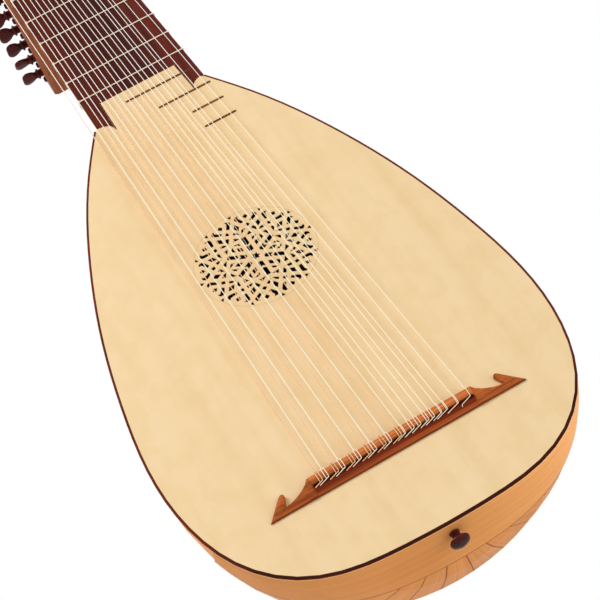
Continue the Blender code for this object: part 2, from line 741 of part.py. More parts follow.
def soundboard(root):
    outline = full_rim(BINDING_WIDTH + GAP)
    right_x = outline[0].x
    left_x = outline[-1].x
    outline += [p for p in reversed(seam(1)) if left_x + GAP < p.x < right_x - GAP]
    centre = Vector(ROSE_CENTRE)
    pocket = [circle(centre, ROSE_RADIUS + ROSE_POCKET_SLOPE * k, ROSE_POCKET_SIDES) for k in (0, 1)]

    def place(x, y, side):
        thin = (Vector((x, y)) - centre).length < ROSE_RADIUS + ROSE_POCKET_SLOPE / 2
        return Vector((x, y, -(ROSE_THICKNESS if thin else SOUNDBOARD_THICKNESS) if side else 0.0))

    solid("soundboard", *plate(outline, rose_holes(), place, pocket), root, SPRUCE)


def edge_binding(root):
    corners = ((0.0, -BINDING_CHAMFER), (0.0, -BINDING_HEIGHT), (BINDING_WIDTH, -BINDING_HEIGHT),
               (BINDING_WIDTH, 0.0), (BINDING_CHAMFER, 0.0))
    distances = board_distances()
    right = [[(*rim_point(d, inset), z) for inset, z in corners] for d in distances]
    right[0] = [(0.0, y, z) for _, y, z in right[0]]
    left = [[(-x, y, z) for x, y, z in ring] for ring in right[1:]]
    rings = right[:0:-1] + [right[0]] + left
    solid("edge_binding", *loft(rings), root, BINDING_WOOD)


def bar_half_length(y):
    """Half length of a bar that ends just clear of the ribs at y."""
    if y > SHELL_Y[WIDEST]:
        half = np.interp(y, SHELL_Y[WIDEST:], SHELL_X[WIDEST:])
    else:
        half = np.interp(y, SHELL_Y[:WIDEST + 1], SHELL_X[:WIDEST + 1])
    return half * math.cos(HALF_FACET_ANGLE) - RIB_THICKNESS - BAR_END_CLEARANCE


def full_bar(name, y, root):
    top = -SOUNDBOARD_THICKNESS - GAP
    low = top - BAR_HEIGHT
    half = bar_half_length(y)
    ring = [(-half, top), (-half, top - BAR_END_HEIGHT), (-half + BAR_SCALLOP, low),
            (half - BAR_SCALLOP, low), (half, top - BAR_END_HEIGHT), (half, top)]
    rings = [[(x, y + side * BAR_WIDTH / 2, z) for x, z in ring] for side in (-1, 1)]
    return solid(name, *loft(rings), root, SPRUCE)


def fan_bar(name, x, y, angle, root):
    top = -SOUNDBOARD_THICKNESS - GAP
    along = Vector((math.sin(angle), math.cos(angle), 0.0))
    across = Vector((along.y, -along.x, 0.0)) * FAN_BAR_WIDTH / 2
    rings = []
    for share, height in ((0.0, 0.9), (0.25, 1.0), (0.75, 1.0), (1.0, 0.3)):
        middle = Vector((x, y, top)) + along * FAN_BAR_LENGTH * share
        drop = Vector((0.0, 0.0, -FAN_BAR_HEIGHT * height))
        rings.append([middle - across, middle + across, middle + across + drop, middle - across + drop])
    return solid(name, *loft(rings), root, SPRUCE)


def bars(root):
    """Bars on each side of the rose, each set joined by the strip on the soundboard's middle joint."""
    top = -SOUNDBOARD_THICKNESS - GAP
    for name, positions in (("lower_bars", LOWER_BAR_POSITIONS), ("upper_bars", UPPER_BAR_POSITIONS)):
        body = full_bar(name, positions[0], root)
        others = [full_bar(f"{name}_{k}", y, root) for k, y in enumerate(positions[1:])]
        low = (-JOINT_STRIP_WIDTH / 2, positions[0], top - JOINT_STRIP_THICKNESS)
        high = (JOINT_STRIP_WIDTH / 2, positions[-1], top - GAP / 2)
        others.append(solid(name + "_strip", *loft(box(low, high)), root, SPRUCE))
        if name == "lower_bars":
            for k, (x, angle) in enumerate(FAN_BARS):
                others.append(fan_bar(f"fan_bar_{k}", x, positions[0], math.radians(angle), root))
        for other in others:
            combine(body, other, "UNION")


def neck_block(root):
    start = NECK_JOINT_Y - NECK_BLOCK_LENGTH
    distances = [d for d in rim_distances(200) if rim_point(d, SHELL_INSET).y >= start][::5]
    distances.append(RIM_END)
    rings = []
    for distance in distances:
        corners = [joint_points(distance, k / RIB_FACETS, GAP)[1]
                   for k in range(RIB_COUNT * RIB_FACETS + 1)]
        corners[0] = at_height(corners[1], corners[0], -BOARD_DROP)
        corners[-1] = at_height(corners[-2], corners[-1], -BOARD_DROP)
        y = NECK_JOINT_Y if distance == RIM_END else corners[len(corners) // 2].y
        rings.append([(p.x, y, p.z) for p in corners])
    solid("neck_block", *loft(rings), root, NECK_WOOD)


def neck_arc(y, inset, count=13):
    """Lower edge of the neck's section, from the treble side round to the bass side."""
    half = neck_half_width(y) - inset
    depth = neck_depth(y) - inset
    points = []
    for k in range(count):
        turn = math.pi * k / (count - 1)
        down = (depth - BOARD_DROP) * math.sin(turn) ** NECK_ROUND_POWER
        points.append(Vector((neck_middle(y) + half * math.cos(turn), y, -BOARD_DROP - down)))
    return points


def neck(root):
    start = NECK_JOINT_Y + GAP
    stations = [start + (NECK_END_Y - start) * i / (NECK_STATIONS - 1) for i in range(NECK_STATIONS)]
    core = solid("neck", *loft([neck_arc(y, VENEER_THICKNESS + GAP) for y in stations]), root, NECK_WOOD)
    notch_y = PEGBOX_START.y - PEGBOX_OUT.y * PEGBOX_NUT_DEPTH - GAP
    notch_low = (-NECK_NUT_WIDTH, notch_y, -2 * NECK_NUT_DEPTH)
    notch_high = (NECK_NUT_WIDTH, NECK_END_Y + 0.01, NOTCH_TOP)
    notch = solid("neck_notch", *loft(box(notch_low, notch_high)), root, NECK_WOOD)
    combine(core, notch, "DIFFERENCE")
    outer = [neck_arc(y, 0.0) for y in stations]
    inner = [neck_arc(y, VENEER_THICKNESS) for y in stations]
    veneer = solid("neck_veneer", *shell_loft(outer, inner), root, DARK_WOOD)
    combine(veneer, notch, "DIFFERENCE")


def fingerboard(root):
    edge = seam(-1)
    end = STRING_LENGTH - GAP
    right = (neck_middle(end) + neck_half_width(end), end)
    left = (neck_middle(end) - neck_half_width(end), end)
    outline = [right] + [tuple(p) for p in edge] + [left]
    verts, faces = plate(outline, [], flat_plate(0.0, -FINGERBOARD_THICKNESS))
    solid("fingerboard", verts, faces, root, DARK_WOOD)


def fret_y(number):
    return STRING_LENGTH * 2 ** (-number / 12)


def tube(points, radius, name, sides_level, cyclic=False, swells=None):
    """Mesh points and faces of a round tube along the points."""
    curve = bpy.data.curves.new(name, "CURVE")
    curve.dimensions = "3D"
    curve.bevel_depth = radius
    curve.bevel_resolution = sides_level
    curve.use_fill_caps = True
    line = curve.splines.new("POLY")
    line.points.add(len(points) - 1)
    line.use_cyclic_u = cyclic
    for k, point in enumerate(points):
        line.points[k].co = (*point, 1.0)
        line.points[k].radius = swells[k] if swells else 1.0
    return curve


def cord(name, points, radius, root, finish, cyclic=False, swells=None):
    """Object of a round cord along the points."""
    curve = tube(points, radius, name, 1 if cyclic else 2, cyclic, swells)
    holder = bpy.data.objects.new("holder", curve)
    mesh = holder.to_mesh()
    verts = [v.co.copy() for v in mesh.vertices]
    faces = [tuple(f.vertices) for f in mesh.polygons]
    holder.to_mesh_clear()
    bpy.data.objects.remove(holder)
    bpy.data.curves.remove(curve)
    return solid(name, verts, faces, root, finish, smooth_deg=80)


def tied_frets(root):
    radius = TIED_FRET_DIAMETER / 2
    away = radius + GAP
    for number in range(1, TIED_FRET_COUNT + 1):
        y = fret_y(number)
        half = neck_half_width(y)
        middle = neck_middle(y)
        depth = neck_depth(y)
        points = [(middle - half + 0.0010, y, away), (middle + half - 0.0010, y, away)]
        points += [(middle + half + away * 0.75, y, away * 0.5)]
        turns = [math.pi * k / 12 for k in range(13)]
        top = -BOARD_DROP
        for t in turns:
            points.append((middle + (half + away * 1.2) * math.cos(t), y,
                           top - (depth + away * 1.2 + top) * math.sin(t) ** NECK_ROUND_POWER))
        points += [(middle - half - away * 0.75, y, away * 0.5)]
        swells = [1.0] * len(points)
        swells[-2] = KNOT_SWELL
        points[-2] = (points[-2][0] - radius * (KNOT_SWELL - 1), y, points[-2][2])
        cord(f"tied_fret_{number}", points, radius, root, GUT, True, swells)


def nut(root):
    """Nut across the fingerboard's end, reaching over the bass rider on its left."""
    y_low = STRING_LENGTH
    y_high = NECK_END_Y
    left = neck_middle(y_high) - neck_half_width(y_high) - 2 * GAP - RIDER_NUT_WIDTH
    right = neck_middle(y_low) + neck_half_width(y_low)
    ring = [(y_low, -BOARD_DROP + GAP), (y_high, -BOARD_DROP + GAP), (y_high, NUT_HEIGHT * 0.3),
            (y_high - NUT_EXIT, NUT_HEIGHT), (y_low + NUT_ENTRY, NUT_HEIGHT), (y_low, NUT_HEIGHT * 0.5)]
    solid("nut", *loft([[(x, y, z) for y, z in ring] for x in (left, right)]), root, BONE)


def bridge_block_ring(x):
    """Section of the bridge where the strings are tied: a rounded ridge over a hollow, and an apron."""
    front = BRIDGE_FRONT_Y
    back = front - BRIDGE_RIDGE_WIDTH
    shoulder = BRIDGE_RIDGE_ROUNDING
    top = BRIDGE_HEIGHT
    profile = [(BRIDGE_REAR_Y, GAP), (front, GAP), (front, top - shoulder),
               (front - shoulder * 0.4, top - shoulder * 0.3), (front - shoulder, top),
               (back + shoulder, top), (back + shoulder * 0.4, top - shoulder * 0.3), (back, top - shoulder),
               (back + BRIDGE_UNDERCUT, BRIDGE_APRON_TOP), (back - BRIDGE_UNDERCUT, BRIDGE_APRON_TOP),
               (BRIDGE_REAR_Y + BRIDGE_APRON_BEVEL, BRIDGE_APRON_TOP * BRIDGE_BEVEL_TOP),
               (BRIDGE_REAR_Y, BRIDGE_REAR_HEIGHT)]
    return [(x, y, z) for y, z in profile]


def bridge_arm_ring(x, front, height):
    """Section of an arm of the bridge: an upright front edge and a back that slopes down to the rear."""
    rise = height - GAP
    depth = front - BRIDGE_REAR_Y
    profile = ((0.0, 0.62), (0.04, 0.86), (0.12, 0.98), (0.24, 1.0), (0.38, 0.95), (0.50, 0.88),
               (0.64, 0.76), (0.82, 0.56), (0.92, 0.43), (1.0, 0.30))
    ring = [(x, BRIDGE_REAR_Y, GAP), (x, front, GAP)]
    return ring + [(x, front - depth * back, GAP + rise * up) for back, up in profile]


def bridge_side_rings(sign):
    """Sections from the block out to one end, sweeping back and down."""
    half_block = BRIDGE_BLOCK_LENGTH / 2
    half = BRIDGE_LENGTH / 2
    sweep = half - half_block - HORN_BASE
    rings = []
    for k in range(1, 8):
        share = k / 7
        dip = 1 - (1 - share) ** 2.2
        front = BRIDGE_FRONT_Y - (BRIDGE_FRONT_Y - BRIDGE_REAR_Y - BRIDGE_ARM_DEPTH) * dip
        height = BRIDGE_HEIGHT - (BRIDGE_HEIGHT - BRIDGE_ARM_HEIGHT) * dip
        x = BRIDGE_CENTRE_X + sign * (half_block + sweep * share)
        rings.append(bridge_arm_ring(x, front, height))
    rings.append(bridge_arm_ring(BRIDGE_CENTRE_X + sign * (half - HORN_BASE * 0.6),
                                 BRIDGE_REAR_Y + BRIDGE_ARM_DEPTH * 0.8, BRIDGE_ARM_HEIGHT * 0.75))
    return rings


def horn_rings(sign):
    """Sections of the horn at the end of an arm: a face slopes up from the bridge's rear edge to its
    ridge, and from there it narrows forward to a rounded tip."""
    end = Vector((BRIDGE_CENTRE_X + sign * BRIDGE_LENGTH / 2, BRIDGE_REAR_Y - HORN_STEP))
    base = end - Vector((sign * HORN_BASE / 2, 0.0))
    tip = end + Vector((-sign * HORN_INWARD, HORN_FORWARD))
    axis = tip - base
    base_half = Vector((sign * HORN_BASE / 2, 0.0))
    tip_half = Vector((axis.y, -axis.x)).normalized() * sign * HORN_TIP_WIDTH / 2
    dome = ((1.0, 0.32), (0.72, 0.66), (0.36, 0.90), (-0.10, 1.0), (-0.55, 0.98), (-0.86, 0.82),
            (-1.0, 0.58))
    face = HORN_FACE_DEPTH / HORN_FORWARD
    rings = []
    for share, width, rise in ((0.0, 1.0, 0.0), (face, 1.0, 0.9), (0.45, 1.0, 1.0), (0.75, 1.0, 1.0),
                               (0.92, 0.96, 0.96), (0.98, 0.78, 0.86), (1.0, 0.5, 0.72)):
        spot = base + axis * share
        half = (base_half + (tip_half - base_half) * share) * width
        ring = [(spot - half, GAP + HORN_STEP), (spot + half, GAP + HORN_STEP)]
        for across, up in dome:
            ring.append((spot + half * across,
                         BRIDGE_REAR_HEIGHT + (HORN_HEIGHT * up - BRIDGE_REAR_HEIGHT) * rise))
        rings.append([(point.x, point.y, z) for point, z in ring])
    return rings


def bridge(root):
    """Bridge block with a ridge that holds the strings, arms and forward-curling horns."""
    middle = BRIDGE_CENTRE_X
    ends = BRIDGE_BLOCK_LENGTH / 2
    rings = list(reversed(bridge_side_rings(-1)))
    rings += [bridge_arm_ring(middle - ends - BRIDGE_FACET, BRIDGE_FRONT_Y, BRIDGE_HEIGHT),
              bridge_block_ring(middle - ends + BRIDGE_FACET),
              bridge_block_ring(middle + ends - BRIDGE_FACET),
              bridge_arm_ring(middle + ends + BRIDGE_FACET, BRIDGE_FRONT_Y, BRIDGE_HEIGHT)]
    rings += bridge_side_rings(1)
    body = solid("bridge", *loft(rings), root, BRIDGE_WOOD)
    parts = [body]
    for sign, side in ((-1, "bass"), (1, "treble")):
        parts.append(solid(f"horn_{side}", *loft(horn_rings(sign)), root, BRIDGE_WOOD))
        combine(body, parts[-1], "UNION")
    for obj in parts:
        obj.matrix_local = (Matrix.Translation((middle, BRIDGE_REAR_Y, 0))
                            @ Matrix.Rotation(math.radians(BRIDGE_SKEW_DEG), 4, "Z")
                            @ Matrix.Translation((-middle, -BRIDGE_REAR_Y, 0)))


def pegbox_point(x, u, v):
    return Vector((x, 0.0, 0.0)) + PEGBOX_START + PEGBOX_DOWN * u + PEGBOX_OUT * v


def pegbox_half_width(u):
    return (NECK_NUT_WIDTH + (PEGBOX_END_WIDTH - NECK_NUT_WIDTH) * u / PEGBOX_LENGTH) / 2


def pegbox_depth(u):
    return PEGBOX_NUT_DEPTH + (PEGBOX_END_DEPTH - PEGBOX_NUT_DEPTH) * u / PEGBOX_LENGTH


def cheek_x(sign, u, inset):
    return NECK_NUT_CENTRE_X + sign * (pegbox_half_width(u) - inset)


def u_at_height(z, v):
    """How far down the pegbox the height z is reached at depth v."""
    return (-z - PEGBOX_DROP + PEGBOX_OUT.z * v) / math.sin(PEGBOX_TURN)


def cheek_outline(sign):
    """Cheek in its own plane; the bass one is cut away where the outer strings pass."""
    top = NOTCH_TOP - GAP
    back = -PEGBOX_NUT_DEPTH
    outline = [(PEGBOX_LENGTH, 0.0), (PEGBOX_LENGTH, -PEGBOX_END_DEPTH), (u_at_height(top, back), back)]
    if sign < 0:
        outline += [(u_at_height(top, -CHEEK_CUTAWAY), -CHEEK_CUTAWAY), (CHEEK_CUTAWAY_LENGTH, 0.0)]
    else:
        outline.append((u_at_height(top, 0.0), 0.0))
    return outline


def peg_side(number):
    return 1 if number % 2 == 0 else -1


def peg_u(number):
    return FIRST_PEG_U + number * PEG_PITCH


def bore_radius(shaft):
    """Radius to the corners of a bore whose flats clear the corners of the peg's shaft."""
    return (shaft + PEG_CLEARANCE) / math.cos(math.pi / PEG_SIDES)


def pegbox_cheeks(root):
    for sign, side in ((1, "treble"), (-1, "bass")):
        holes = []
        for number in range(PEGBOX_PEG_COUNT):
            u = peg_u(number)
            local = PEG_RADIUS
            if peg_side(number) != sign:
                across = CHEEK_THICKNESS / (2 * pegbox_half_width(u))
                local -= (PEG_RADIUS - PEG_TIP_RADIUS) * (1 - across)
            holes.append(circle((u, -PEG_AXIS_DEPTH), bore_radius(local), PEG_SIDES))

        def place(u, v, face, sign=sign):
            return pegbox_point(cheek_x(sign, u, CHEEK_THICKNESS if face else 0.0), u, v)

        verts, faces = plate(cheek_outline(sign), holes, place)
        solid(f"pegbox_cheek_{side}", verts, faces, root, PEGBOX_WOOD)


def across_pegbox(u, front, back, inset):
    """Ring across the pegbox at u, between two depths."""
    return [pegbox_point(cheek_x(sign, u, inset), u, v) for sign, v in
            ((-1, front), (1, front), (1, back), (-1, back))]


def pegbox_blocks(root):
    inset = CHEEK_THICKNESS + GAP
    start = u_at_height(NOTCH_TOP - GAP, -PEGBOX_NUT_DEPTH / 2) + GAP
    rings = [across_pegbox(u, -HEAD_BLOCK_SETBACK, -pegbox_depth(u) + GAP, inset)
             for u in (start + 0.0008, start + HEAD_BLOCK_LENGTH)]
    solid("pegbox_head_block", *loft(rings), root, PEGBOX_WOOD)
    rings = [across_pegbox(u, 0.0, -pegbox_depth(u) + GAP, inset)
             for u in (PEGBOX_LENGTH - END_BLOCK_LENGTH, PEGBOX_LENGTH)]
    solid("pegbox_end_block", *loft(rings), root, PEGBOX_WOOD)
    start = u_at_height(-NECK_NUT_DEPTH - 2 * GAP, -PEGBOX_NUT_DEPTH)
    rings = []
    for k in range(3):
        u = start + (PEGBOX_LENGTH - start) * k / 2
        low = -pegbox_depth(u) - GAP
        profile = ((-1, 0.0, 0.0), (1, 0.0, 0.0), (1, 0.0, 0.5), (1, BACK_ROUNDING, 1.0),
                   (-1, BACK_ROUNDING, 1.0), (-1, 0.0, 0.5))
        rings.append([pegbox_point(cheek_x(sign, u, inset), u, low - BACK_THICKNESS * down)
                      for sign, inset, down in profile])
    solid("pegbox_back", *loft(rings), root, PEGBOX_WOOD)


def rider(name, outline, outer_x, inner_x, floor, channel_end, peg_us, root):
    """Block that stands on the pegbox with an open channel for its strings and bores for its pegs."""
    low_x, high_x = sorted((outer_x, inner_x))
    body = solid(name, *loft([[pegbox_point(x, u, v) for u, v in outline] for x in (low_x, high_x)]),
                 root, PEGBOX_WOOD)
    channel = ((-RIDER_ENTRY_LENGTH, floor - RIDER_ENTRY_DROP * 2), (0.0, floor - RIDER_ENTRY_DROP),
               (RIDER_ENTRY_LENGTH, floor), (channel_end, floor), (channel_end, 2 * RIDER_HEIGHT),
               (-RIDER_ENTRY_LENGTH, 2 * RIDER_HEIGHT))
    rings = [[pegbox_point(x, u, v) for u, v in channel]
             for x in (low_x + RIDER_WALL, high_x - RIDER_WALL)]
    combine(body, solid(name + "_channel", *loft(rings), root, PEGBOX_WOOD), "DIFFERENCE")
    for k, u in enumerate(peg_us):
        bore = rod(f"{name}_bore_{k}", pegbox_point(low_x - 0.01, u, RIDER_PEG_V),
                   pegbox_point(high_x + 0.01, u, RIDER_PEG_V),
                   bore_radius(RIDER_PEG_RADIUS), PEG_SIDES, root, PEG_WOOD)
        combine(body, bore, "DIFFERENCE")


def bass_rider_inner_x():
    return cheek_x(-1, 0.0, 0.0) - GAP


def treble_rider_outer_x():
    return cheek_x(1, 0.0, 0.0)


def riders(root):
    top = -BOARD_DROP
    outline = [(u_at_height(top, -BASS_RIDER_DROP), -BASS_RIDER_DROP), (u_at_height(top, 0.001), 0.001),
               (0.004, RIDER_HEIGHT), (BASS_RIDER_LENGTH, RIDER_HEIGHT),
               (BASS_RIDER_LENGTH, -BASS_RIDER_DROP * 0.5), (BASS_RIDER_LENGTH * 0.8, -BASS_RIDER_DROP)]
    rider("bass_rider", outline, bass_rider_inner_x() - BASS_RIDER_WIDTH, bass_rider_inner_x(), 0.0,
          BASS_RIDER_LENGTH - RIDER_END_WALL, BASS_RIDER_PEG_US, root)
    outline = [(0.0025, GAP), (0.0045, RIDER_HEIGHT), (TREBLE_RIDER_LENGTH, RIDER_HEIGHT),
               (TREBLE_RIDER_LENGTH, GAP)]
    outer = treble_rider_outer_x()
    rider("treble_rider", outline, outer, outer - TREBLE_RIDER_WIDTH, RIDER_FLOOR,
          TREBLE_RIDER_LENGTH - RIDER_END_WALL, (TREBLE_RIDER_PEG_U,), root)


def peg_specs():
    """Head side, u, v, x of the outer face by the head, x of the far face, radii and tip reach."""
    specs = []
    for number in range(PEGBOX_PEG_COUNT):
        u = peg_u(number)
        sign = peg_side(number)
        specs.append((sign, u, -PEG_AXIS_DEPTH, cheek_x(sign, u, 0.0), cheek_x(-sign, u, 0.0),
                      PEG_RADIUS, PEG_TIP_RADIUS, PEG_TIP_REACH))
    outer = treble_rider_outer_x()
    specs.append((1, TREBLE_RIDER_PEG_U, RIDER_PEG_V, outer, outer - TREBLE_RIDER_WIDTH,
                  RIDER_PEG_RADIUS, RIDER_PEG_RADIUS - 0.0002, RIDER_PEG_TIP_REACH))
    for u in BASS_RIDER_PEG_US:
        specs.append((-1, u, RIDER_PEG_V, bass_rider_inner_x() - BASS_RIDER_WIDTH, bass_rider_inner_x(),
                      RIDER_PEG_RADIUS, RIDER_PEG_RADIUS - 0.0002, RIDER_PEG_TIP_REACH))
    return specs


def pegs(root):
    for number, (sign, u, v, near, far, radius, tip_radius, reach) in enumerate(peg_specs()):
        span = abs(near - far)
        neck_at = PEG_COLLAR_GAP + PEG_COLLAR_LENGTH
        profile = (
            (-span - reach, tip_radius * 0.75, tip_radius * 0.75),
            (-span, tip_radius, tip_radius),
            (0.0, radius, radius),
            (PEG_COLLAR_GAP, radius, radius),
            (PEG_COLLAR_GAP, PEG_COLLAR_RADIUS, PEG_COLLAR_RADIUS),
            (neck_at, PEG_COLLAR_RADIUS, PEG_COLLAR_RADIUS),
            (neck_at + 0.0016, PEG_NECK_RADIUS, PEG_NECK_RADIUS),
            (neck_at + PEG_HEAD_LENGTH * 0.36, PEG_HEAD_HALF_WIDTH * 0.82, PEG_HEAD_HALF_THICKNESS),
            (neck_at + PEG_HEAD_LENGTH * 0.70, PEG_HEAD_HALF_WIDTH, PEG_HEAD_HALF_THICKNESS),
            (neck_at + PEG_HEAD_LENGTH, PEG_HEAD_HALF_WIDTH * 0.52, PEG_HEAD_HALF_THICKNESS * 0.5),
        )
        turn = math.radians(PEG_HEAD_ANGLES[number % len(PEG_HEAD_ANGLES)])
        rings = []
        for out, half_width, half_thickness in profile:
            ring = []
            for k in range(PEG_SIDES):
                angle = 2 * math.pi * k / PEG_SIDES
                a = half_width * math.cos(angle)
                b = half_thickness * math.sin(angle)
                ring.append((sign * out, a * math.cos(turn) - b * math.sin(turn),
                             a * math.sin(turn) + b * math.cos(turn)))
            rings.append(ring)
        obj = solid(f"peg_{number + 1:02d}", *loft(rings), root, PEG_WOOD)
        obj.location = pegbox_point(near, u, v)


def string_radius(index):
    if index in WOUND_STRINGS:
        return WOUND_RADIUS
    return SINGLE_RADIUS if index in SINGLE_STRINGS else PLAIN_RADIUS


def string_points(index):
    """Route of a string: tail under the next loop, round the ridge, over the nut, round its peg."""
    radius = string_radius(index)
    x_bridge = BRIDGE_STRING_X[index]
    x_nut = NUT_STRING_X[index]
    slope = math.tan(math.radians(BRIDGE_SKEW_DEG))
    skew = slope * (x_bridge - BRIDGE_CENTRE_X)
    front = BRIDGE_FRONT_Y + skew + radius + GAP
    back = BRIDGE_FRONT_Y + skew - BRIDGE_RIDGE_WIDTH - radius - GAP
    top = BRIDGE_HEIGHT + radius + GAP
    apron = BRIDGE_APRON_TOP + radius + GAP
    x_next = BRIDGE_STRING_X[index - 1] if index else x_bridge - LAST_TAIL_REACH
    back_next = back - slope * (x_bridge - x_next)
    lean = STRING_LOOP_LEAN
    points = [(x_next - lean * 0.7, back_next, apron + STRING_TAIL_LIFT),
              (x_bridge - lean, back - GAP, apron + GAP),
              (x_bridge - lean * 0.5, back, top - BRIDGE_RIDGE_ROUNDING * 0.4),
              (x_bridge - lean * 0.3, back + BRIDGE_RIDGE_ROUNDING * 0.6, top),
              (x_bridge, front - BRIDGE_RIDGE_ROUNDING * 0.7, top),
              (x_bridge, front + GAP, STRING_HEIGHT_AT_BRIDGE)]
    over = NUT_HEIGHT + radius + GAP
    points += [(x_nut, STRING_LENGTH + NUT_ENTRY, over)]
    if index < 2:
        peg = PEGBOX_PEG_COUNT + 1 + index
    elif index == len(NUT_STRING_X) - 1:
        peg = PEGBOX_PEG_COUNT
    else:
        peg = len(NUT_STRING_X) - 2 - index
    _, u, v, _, _, shaft, _, _ = peg_specs()[peg]
    reach = shaft + GAP + radius
    if peg < PEGBOX_PEG_COUNT:
        x_peg = NECK_NUT_CENTRE_X + (x_nut - NECK_NUT_CENTRE_X) * (1 - STRING_CONVERGENCE * u)
        points += [(x_nut, NECK_END_Y - NUT_EXIT + radius, over),
                   (x_nut, NECK_END_Y + radius + GAP, over - NUT_EXIT_DROP)]
        turns = [math.pi / 2 - math.pi * k / 4 for k in range(5)]
    else:
        shift = RIDER_STRING_SHIFT[peg - PEGBOX_PEG_COUNT]
        x_peg = x_nut + 2 * shift
        points += [(x_nut + shift * 0.8, NECK_END_Y - NUT_EXIT * 0.8, over),
                   (x_nut + shift, NECK_END_Y + radius, over - NUT_EXIT_DROP * 0.3)]
        turns = [-math.pi / 2 + math.pi * k / 4 for k in range(5)]
    route = [Vector(p) for p in points]
    route += [pegbox_point(x_peg, u + reach * math.cos(t), v + reach * math.sin(t)) for t in turns]
    return route


def strings(root):
    """All the strings, joined where each one's tail is tucked under its neighbour's loop."""
    body = None
    for index in range(len(NUT_STRING_X)):
        points = string_points(index)
        swells = [0.7] + [1.0] * (len(points) - 1)
        name = f"string_{index + 1:02d}" if body else "strings"
        obj = cord(name, points, string_radius(index), root, GUT, swells=swells)
        if body:
            combine(body, obj, "UNION")
        else:
            body = obj


def world_points():
    bpy.context.view_layer.update()
    depsgraph = bpy.context.evaluated_depsgraph_get()
    corners = []
    for obj in bpy.data.objects:
        if obj.type == "MESH" and not obj.hide_render:
            shown = obj.evaluated_get(depsgraph)
            coords = np.empty(len(shown.data.vertices) * 3)
            shown.data.vertices.foreach_get("co", coords)
            matrix = np.array(shown.matrix_world)
            corners.append(coords.reshape(-1, 3) @ matrix[:3, :3].T + matrix[:3, 3])
    return corners


def rest_on_floor(root):
    """Tip the lute until the bowl and the pegbox's end both touch the floor, then stand it on Z = 0."""
    cloud = np.concatenate(world_points())
    bowl = cloud[cloud[:, 1] < NECK_JOINT_Y]
    head = cloud[cloud[:, 1] >= NECK_JOINT_Y]

    def lowest(points, tilt):
        return (points[:, 1] * math.sin(tilt) + points[:, 2] * math.cos(tilt)).min()

    low, high = 0.0, math.radians(30)
    for _ in range(40):
        tilt = (low + high) / 2
        if lowest(head, tilt) < lowest(bowl, tilt):
            low = tilt
        else:
            high = tilt
    root.rotation_euler = (tilt, 0.0, 0.0)
    cloud = np.concatenate(world_points())
    low_corner = cloud.min(axis=0)
    high_corner = cloud.max(axis=0)
    middle = (low_corner + high_corner) / 2
    root.location = (-middle[0], -middle[1], -low_corner[2])


clear_scene()
lute = make_root()
ribs(lute)
clasp(lute)
end_block(lute)
strap_button(lute)
neck_block(lute)
soundboard(lute)
edge_binding(lute)
bars(lute)
bridge(lute)
neck(lute)
fingerboard(lute)
tied_frets(lute)
nut(lute)
pegbox_cheeks(lute)
pegbox_blocks(lute)
riders(lute)
pegs(lute)
strings(lute)
rest_on_floor(lute)
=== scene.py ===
"""Looks of the eleven-course baroque lute: camera, light, strings, frets on the belly, and finishes."""

import json
import math

import bpy
from mathutils import Matrix, Vector


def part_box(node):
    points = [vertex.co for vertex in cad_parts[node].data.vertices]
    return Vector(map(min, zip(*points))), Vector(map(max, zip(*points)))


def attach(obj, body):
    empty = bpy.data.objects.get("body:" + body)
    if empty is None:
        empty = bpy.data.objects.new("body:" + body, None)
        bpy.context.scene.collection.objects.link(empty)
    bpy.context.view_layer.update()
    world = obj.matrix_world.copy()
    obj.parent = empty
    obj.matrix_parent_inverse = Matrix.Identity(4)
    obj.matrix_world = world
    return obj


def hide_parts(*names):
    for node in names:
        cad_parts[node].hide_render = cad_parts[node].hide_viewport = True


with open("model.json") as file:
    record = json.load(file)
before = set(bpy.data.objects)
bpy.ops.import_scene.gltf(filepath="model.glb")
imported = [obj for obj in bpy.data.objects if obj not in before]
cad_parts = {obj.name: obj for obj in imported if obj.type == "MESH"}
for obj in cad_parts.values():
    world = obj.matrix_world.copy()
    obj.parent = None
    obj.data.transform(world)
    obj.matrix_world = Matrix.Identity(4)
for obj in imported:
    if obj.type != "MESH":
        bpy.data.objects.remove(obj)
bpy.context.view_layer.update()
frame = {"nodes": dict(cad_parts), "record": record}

# Where the lute's own frame sits: X across, Y from bridge to nut, Z up from the soundboard
TILT = 0.113653
LUTE_ORIGIN = (0.0, -0.321148, 0.147733)

# Camera of the photograph in the lute's frame
EYE = (-0.2714, -1.0200, 1.4036)
RIGHT = (0.8698, -0.4504, -0.2015)
DOWN = (-0.4698, -0.6313, -0.6171)
FORWARD = (0.1507, 0.6314, -0.7607)
LENS_MM = 148.6
SENSOR_MM = 36.0

# Sizes shared with the CAD, in metres
STRING_LENGTH = 0.7
NUT_THICKNESS = 0.005
NUT_HEIGHT = 0.0012
ROSE_CENTRE = (-0.0012, 0.2919 * STRING_LENGTH)
BRIDGE_CENTRE_X = 0.0019
BRIDGE_FRONT_Y = -0.0052
BRIDGE_REAR_Y = -0.0204
BRIDGE_APRON_BEVEL = 0.0034
BRIDGE_RIDGE_WIDTH = 0.0072
BRIDGE_HEIGHT = 0.0080
BRIDGE_APRON_TOP = 0.0044
BRIDGE_HALF_BLOCK = 0.066
BRIDGE_SKEW = math.radians(0.8)
NUT_CENTRE_X = -0.00395
NUT_HALF_WIDTH = 0.04125
PEGBOX_TURN = math.radians(86.0)
PEGBOX_START = (STRING_LENGTH + NUT_THICKNESS + 0.0020, -0.0035)
PEG_DEPTH = -0.0075
FIRST_PEG = 0.0345
PEG_PITCH = 0.01105
PEG_COUNT = 17
RIDER_PEG_DEPTH = 0.0110
RIDER_PEGS = (0.0165, 0.0085, 0.0272)
PEG_RADII = (0.0039, 0.0031)
RIDER_PEG_RADII = (0.0034, 0.0032)
PEG_TIP_REACH = 0.0020
RIDER_PEG_TIP_REACH = 0.0008
